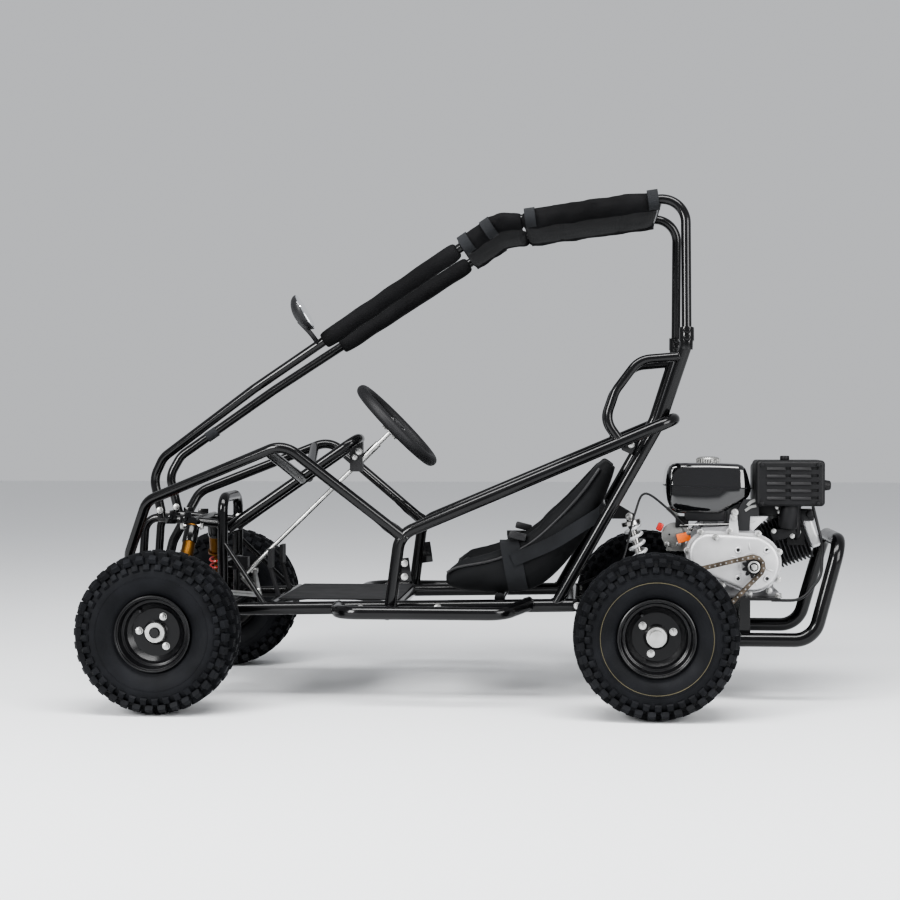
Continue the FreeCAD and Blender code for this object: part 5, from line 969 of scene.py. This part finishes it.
def chainPath(count):
    # places evenly along the belt round both pitch circles
    big, small = pitchRadius(chainLook["bigTeeth"]), pitchRadius(chainLook["smallTeeth"])
    line = smallCentre - bigCentre
    lean = math.asin((big - small) / line.length)
    heading = math.atan2(line.z, line.x)
    over, under = heading + math.pi / 2 - lean, heading - math.pi / 2 + lean
    overBig, overSmall = onCircle(bigCentre, big, over), onCircle(smallCentre, small, over)
    underBig, underSmall = onCircle(bigCentre, big, under), onCircle(smallCentre, small, under)
    run = (overBig - overSmall).length
    smallArc = small * (over - under)
    total = 2 * run + smallArc + big * (2 * math.pi - (over - under))
    places = []
    for number in range(count):
        along = total * number / count
        if along < run:
            places.append(overBig.lerp(overSmall, along / run))
        elif along < run + smallArc:
            places.append(onCircle(smallCentre, small, over - (along - run) / small))
        elif along < 2 * run + smallArc:
            places.append(underSmall.lerp(underBig, (along - run - smallArc) / run))
        else:
            places.append(onCircle(bigCentre, big, under - (along - 2 * run - smallArc) / big))
    return places, total


linkCount = 2 * round(chainPath(1)[1] / chainLook["pitch"] / 2)
mesh = bmesh.new()
places = chainPath(linkCount)[0]
for number, place in enumerate(places):
    for radius, reach, segments in ((chainLook["pin"], chainLook["pinReach"], 8),
                                    (chainLook["roller"], chainLook["rollerReach"], 12)):
        addDisc(mesh, place - across * reach, place + across * reach, radius, segments, index=1)
    after = places[(number + 1) % linkCount]
    heading = (after - place).normalized()
    lift = across.cross(heading)
    outline = []
    for step in range(chainLook["corners"]):
        angle = 2 * math.pi * step / chainLook["corners"]
        end = after if math.cos(angle) > 0 else place
        waist = chainLook["waist"] if abs(math.cos(angle)) < 0.2 else 1
        outline.append(end + (heading * math.cos(angle) + lift * math.sin(angle) * waist) * chainLook["height"] / 2)
    offset = chainLook["innerOffset"] if number % 2 else chainLook["outerOffset"]
    for sign in (-1, 1):
        inside = across * (sign * offset - chainLook["plate"] / 2)
        addPlate(mesh, [corner + inside for corner in outline], across * chainLook["plate"])
piece = finishPiece(mesh, "chainLinks", "chassis", "chain_steel", 35, "chainSteel", "caseSilver")
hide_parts("drive_chain")
print("chain made:", linkCount)

# hardware on the frame: bolts, clamps and plates, the same on both sides, and a few that stand alone
bothSidesLook = {
    "discs": [((1156, 240, 796), (1157, 240, 834), 0.0146, 28, 0.001, 0)],  # sleeve in the cage collar
    "blocks": [((-44, 92, 411), (0.026, 0.004, 0.030), 0.0012, 0, 0),  # cage feet on the nose rails
               ((-8, 92, 408), (0.026, 0.004, 0.030), 0.0012, 0, 0),
               ((1036, 188, 585), (0.030, 0.004, 0.040), 0.0015, -24, 0),
               ((528, 258, 305), (0.030, 0.004, 0.052), 0.0015, 8, 0)],  # arm knee plates
    "heads": [((1157, 255, 822), "left", 0.012, 0.007, 0), ((1157, 222, 822), "right", 0.012, 0.009, 0),  # collar
              ((1157, 255, 838), "left", 0.012, 0.007, 0), ((1157, 222, 838), "right", 0.012, 0.009, 0),
              ((-44, 94, 411), "left", 0.011, 0.005, 0), ((-8, 94, 408), "left", 0.011, 0.005, 0),
              ((-70, 91.2, 428), "left", 0.012, 0.007, 1), ((-70, 70.2, 428), "right", 0.012, 0.007, 1),
              ((424, 209.5, 212), "left", 0.013, 0.008, 1), ((916, 209.5, 222), "left", 0.013, 0.008, 1),
              ((600, 209.5, 216), "left", 0.013, 0.008, 1), ((1036, 190, 585), "left", 0.012, 0.007, 1),
              ((530, 260, 290), "left", 0.012, 0.007, 1), ((530, 260, 320), "left", 0.012, 0.007, 1),
              ((0, 300, 233), "up", 0.018, 0.010, 1), ((0, 300, 123), "down", 0.018, 0.010, 1)],  # kingpin nuts
    "damperTop": (14, 116, 392), "damperFoot": (-4, 246, 166), "eyeReach": 0.019, "eyePin": 0.005, "topCap": 0.0172,
    "carrierBolts": (40, 140, 220, 320), "carrierLeft": 0.1385, "carrierCircle": 0.0235,
}
loneLook = {
    "heads": [((84, -79.5, 406), "left", 0.012, 0.007, 1), ((394, 12.5, 566), "left", 0.013, 0.008, 1),
              ((384, 12.5, 552), "left", 0.010, 0.006, 1)]  # hoop and column bush bolts
    + [((behind, out, height), side, 0.013, 0.008, 1) for out, side in ((-22, "right"), (22, "left"))
       for behind, height in ((1036, 414), (1078, 262))]  # rear damper pins
    + [((behind, out, 235.7), "up", 0.014, 0.009, 1) for behind in (1181, 1371) for out in (128, -128)],  # engine plate
}
mesh = bmesh.new()
for flip in (1, -1):
    addParts(mesh, bothSidesLook, flip)
    top, foot = sided(bothSidesLook["damperTop"], flip), sided(bothSidesLook["damperFoot"], flip)
    eye = forward * bothSidesLook["eyeReach"]
    for place in (top, foot):  # damper eyes
        addDisc(mesh, place - eye, place + eye, bothSidesLook["eyePin"], 16, index=1)
        addHex(mesh, place + eye, forward, 0.013, 0.008, 1)
        addHex(mesh, place - eye, -forward, 0.013, 0.006, 1)
    addDisc(mesh, top.lerp(foot, 0.01), top.lerp(foot, 0.17), bothSidesLook["topCap"], 28, bevel=0.003)
    carrier = Vector((rearAxle.x, flip * bothSidesLook["carrierLeft"], rearAxle.z))
    for angle in bothSidesLook["carrierBolts"]:
        place = onCircle(carrier, bothSidesLook["carrierCircle"], math.radians(angle))
        addHex(mesh, place, across * flip, 0.010, 0.006, 1, 0)
addParts(mesh, loneLook)
finishPiece(mesh, "frameHardware", "chassis", "gloss_black_frame", 35, "powderBlack", "zincPlate")

# grey hook-and-loop straps round the wraps, and tape on the right cage leg
strapLook = {
    "width": 0.024, "thickness": 0.0010, "steps": 56, "lap": 8, "start": 2.4, "loosen": 1.4,
    "places": [(cageSplice, roofFront, 0.25, 0.0226), (cageSplice, roofFront, 0.80, 0.0226),
               (roofFront, roofRear, 0.17, 0.0224), (roofFront, roofRear, 0.82, 0.0224)],
    "tape": ((1, -96.4, 597.8), (25, -100.3, 614.6)), "tapeRadius": 0.0113, "tapeWidth": 0.030,
}


def strapRound(mesh, start, end, radius, width):
    # a flat band wound once round a tube, with its free end lapped over
    heading = (end - start).normalized()
    middle = (start + end) / 2
    side = (across - heading * across.dot(heading)).normalized()
    other = heading.cross(side)
    half = heading * width / 2
    rings = []
    for step in range(strapLook["steps"] + strapLook["lap"]):
        angle = 2 * math.pi * step / strapLook["steps"] + strapLook["start"]
        lift = radius + strapLook["thickness"] * strapLook["loosen"] * step / strapLook["steps"]
        spoke = side * math.cos(angle) + other * math.sin(angle)
        place, out = middle + spoke * lift, spoke * strapLook["thickness"] / 2
        rings.append([place - half - out, place + half - out, place + half + out, place - half + out])
    loftRings(mesh, rings)


mesh = bmesh.new()
for start, end, share, radius in strapLook["places"]:
    low, high = start.lerp(end, share), start.lerp(end, share + 0.02)
    strapRound(mesh, low, high, radius, strapLook["width"])
    strapRound(mesh, mirrored(low), mirrored(high), radius, strapLook["width"])
finishPiece(mesh, "wrapStraps", "chassis", "pad_black", 30, "strapGrey")
mesh = bmesh.new()
low, high = (spot(*place) for place in strapLook["tape"])
strapRound(mesh, low, high, strapLook["tapeRadius"], strapLook["tapeWidth"])
finishPiece(mesh, "cageTape", "chassis", "pad_black", 30, "strapGrey")

# cables along the frame
cableLook = {
    "throttle": [(215, 60, 212), (330, 70, 222), (470, 150, 222), (560, 172, 216), (800, 172, 222), (930, 150, 240),
                 (1010, 120, 300), (1046, 88, 420), (1070, 84, 470), (1120, 84, 438), (1160, 74, 398)],
    "brake": [(215, -60, 212), (330, -80, 222), (470, -150, 222), (560, -172, 216), (800, -172, 222),
              (900, -150, 232), (985, -152, 262), (1010, -151, 246)],
    "radius": {"throttle": 0.0026, "brake": 0.0028},
}
mesh = bmesh.new()
for name, radius in cableLook["radius"].items():
    addTube(mesh, smoothLine([spot(*place) for place in cableLook[name]], 10), radius, 10)
finishPiece(mesh, "controlLines", "chassis", "cable_black", 40, "cableBlack")
print("frame dressed")

# steering wheel dress: hub cap, its bolts and the clamp under the plate
wheelLook = {
    "axis": (-0.71766599, 0, 0.69638748), "boltCircle": 0.0235,
    "discs": [(0, 0.0085, 0.0185, 32, 0.0025, 0), (-0.0200, -0.0150, 0.0295, 32, 0.0012, 0),
              (-0.0240, -0.0100, 0.0165, 24, 0.0015, 1)],  # from and to along the axis, radius, segments, edge, finish
}
steerAxis = Vector(wheelLook["axis"]).normalized()
low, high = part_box("steering_wheel")
middle = (low + high) / 2
mesh = bmesh.new()
for start, end, radius, segments, bevel, index in wheelLook["discs"]:
    addDisc(mesh, middle + steerAxis * start, middle + steerAxis * end, radius, segments, bevel=bevel, index=index)
for step in range(4):
    angle = math.pi * (0.25 + step / 2)
    spoke = across * math.cos(angle) + steerAxis.cross(across) * math.sin(angle)
    place = middle + spoke * wheelLook["boltCircle"]
    addHex(mesh, place + steerAxis * 0.0002, steerAxis, 0.008, 0.004, 1, 1.3)
    addHex(mesh, place - steerAxis * 0.0200, -steerAxis, 0.009, 0.005, 1, 0)
finishPiece(mesh, "wheelHub", "steering", "grip_black", 35, "plasticBlack", "zincPlate")
print("steering wheel dressed")

# weld beads: a rippled bead along the saddle where one tube ends on another
weldLook = {
    "bead": 0.0021, "ripple": 0.22, "ripples": 14, "steps": 72, "sides": 7,
    "tube": {"floor": 0.015, "arm": 0.0135, "side": 0.012, "loop": 0.010},
    "places": [  # joint, a place along the tube it stands on, a place along the tube that ends there, their tubes
        ((866, 195, 221), (905, 195, 222), (1102, 205, 640), "floor", "arm"),
        ((534, 263, 374), (520, 263, 384), (270, 336, 588), "arm", "side"),
        ((1149, 238, 782), (1102, 205, 640), (1052, 246, 774), "arm", "loop"),
        ((1012, 259, 592), (1130, 258, 642), (978, 258, 640), "arm", "loop"),
        ((80, 88, 396), (80, 88, 300), (-108, 74, 413), "side", "loop"),
        ((372, 195, 212), (905, 195, 222), (385, 312, 214), "floor", "floor"),
        ((808, 195, 224), (80, 195, 207), (752, 312, 214), "floor", "floor"),
        ((976, 172, 436), (866, 195, 221), (976, 0, 436), "arm", "side"),
        ((905, 118, 222), (905, 0, 222), (985, 118, 142), "floor", "side")],
}


def addWeld(mesh, joint, along, toward, outerRadius, endRadius):
    along, toward = along.normalized(), toward.normalized()
    side = toward.orthogonal().normalized()
    other = toward.cross(side)
    rise = toward - along * toward.dot(along)
    rings = []
    for step in range(weldLook["steps"] + 1):
        angle = 2 * math.pi * step / weldLook["steps"]
        normal = side * math.cos(angle) + other * math.sin(angle)
        turning = other * math.cos(angle) - side * math.sin(angle)
        spoke = normal * endRadius
        flat = spoke - along * spoke.dot(along)
        half, rest = rise.dot(flat), flat.length_squared - outerRadius ** 2
        reach = (-half + math.sqrt(max(half * half - rise.length_squared * rest, 0))) / rise.length_squared
        place = joint + toward * reach + spoke
        thickness = weldLook["bead"] * (1 + weldLook["ripple"] * math.sin(angle * weldLook["ripples"]))
        ring = []
        for number in range(weldLook["sides"]):
            turn = 2 * math.pi * number / weldLook["sides"]
            ring.append(place + (normal * math.cos(turn) + turning.cross(normal) * math.sin(turn)) * thickness)
        rings.append(ring)
    loftRings(mesh, rings, closed=False)


mesh = bmesh.new()
for *places, outer, ending in weldLook["places"]:
    for flip in (1, -1):
        joint, along, toward = (sided(place, flip) for place in places)
        addWeld(mesh, joint, along - joint, toward - joint, weldLook["tube"][outer], weldLook["tube"][ending])
finishPiece(mesh, "weldBeads", "chassis", "gloss_black_frame", 60, "powderBlack")
print("welds made")


# floor, light and camera
studio = {
    "floorTone": (0.80, 0.81, 0.82), "floorReach": 14, "floorRough": 0.55, "wallTone": (0.66, 0.67, 0.69),
    "worldLight": 0.80, "contrast": "AgX - Medium High Contrast",
    "lamps": {  # place, target, size and power
        "topLight": ((0.0, 1.5, 3.4), (0, 0, 0.3), (3.4, 1.2), 190),
        "keyLight": ((2.6, 3.4, 2.2), (0.2, 0, 0.4), (1.4, 1.8), 210),
        "fillLight": ((-3.0, 2.6, 1.6), (0, 0, 0.4), (2.0, 2.0), 120)},
}
cameraLook = {
    "place": (-0.2698, 4.0397, 0.6362), "yaw": 4.7009, "pitch": -0.9449, "roll": -0.0433,
    "focalPixels": 1700.0, "imagePixels": 900.0, "sensor": 36.0,
}
mesh = bmesh.new()
reach = studio["floorReach"]
mesh.faces.new([mesh.verts.new(corner) for corner in ((-reach, -reach, 0), (reach, -reach, 0),
                                                      (reach, reach, 0), (-reach, reach, 0))])
floorPlane = toObject(mesh, "floor")
plain = bpy.data.materials.new("floor")
plain.use_nodes = True
shader = plain.node_tree.nodes["Principled BSDF"]
shader.inputs["Base Color"].default_value = (*studio["floorTone"], 1)
shader.inputs["Roughness"].default_value = studio["floorRough"]
floorPlane.data.materials.append(plain)

for name, (place, target, size, power) in studio["lamps"].items():
    lamp = bpy.data.lights.new(name, "AREA")
    lamp.energy = power
    lamp.shape = "RECTANGLE"
    lamp.size, lamp.size_y = size
    holder = bpy.data.objects.new(name, lamp)
    holder.location = place
    holder.rotation_euler = (Vector(target) - Vector(place)).to_track_quat("-Z", "Y").to_euler()
    bpy.context.scene.collection.objects.link(holder)
world = bpy.data.worlds.new("softWorld")
bpy.context.scene.world = world
world.use_nodes = True
shader = world.node_tree.nodes["Background"]
shader.inputs["Color"].default_value = (*studio["wallTone"], 1)
shader.inputs["Strength"].default_value = studio["worldLight"]
bpy.context.scene.view_settings.look = studio["contrast"]

yaw, pitch, roll = (math.radians(cameraLook[key]) for key in ("yaw", "pitch", "roll"))
ahead = Vector((math.sin(yaw) * math.cos(pitch), -math.cos(yaw) * math.cos(pitch), math.sin(pitch)))
right = ahead.cross(upward).normalized()
over = right.cross(ahead)
rolledRight = right * math.cos(roll) + over * math.sin(roll)
rolledOver = over * math.cos(roll) - right * math.sin(roll)
cameraData = bpy.data.cameras.new("photoCamera")
cameraData.sensor_width = cameraLook["sensor"]
cameraData.lens = cameraLook["focalPixels"] / cameraLook["imagePixels"] * cameraLook["sensor"]
camera = bpy.data.objects.new("photoCamera", cameraData)
camera.matrix_world = Matrix((
    (*rolledRight, 0), (*rolledOver, 0), (*-ahead, 0), (*cameraLook["place"], 1))).transposed()
bpy.context.scene.collection.objects.link(camera)
bpy.context.scene.camera = camera
print("stage set")
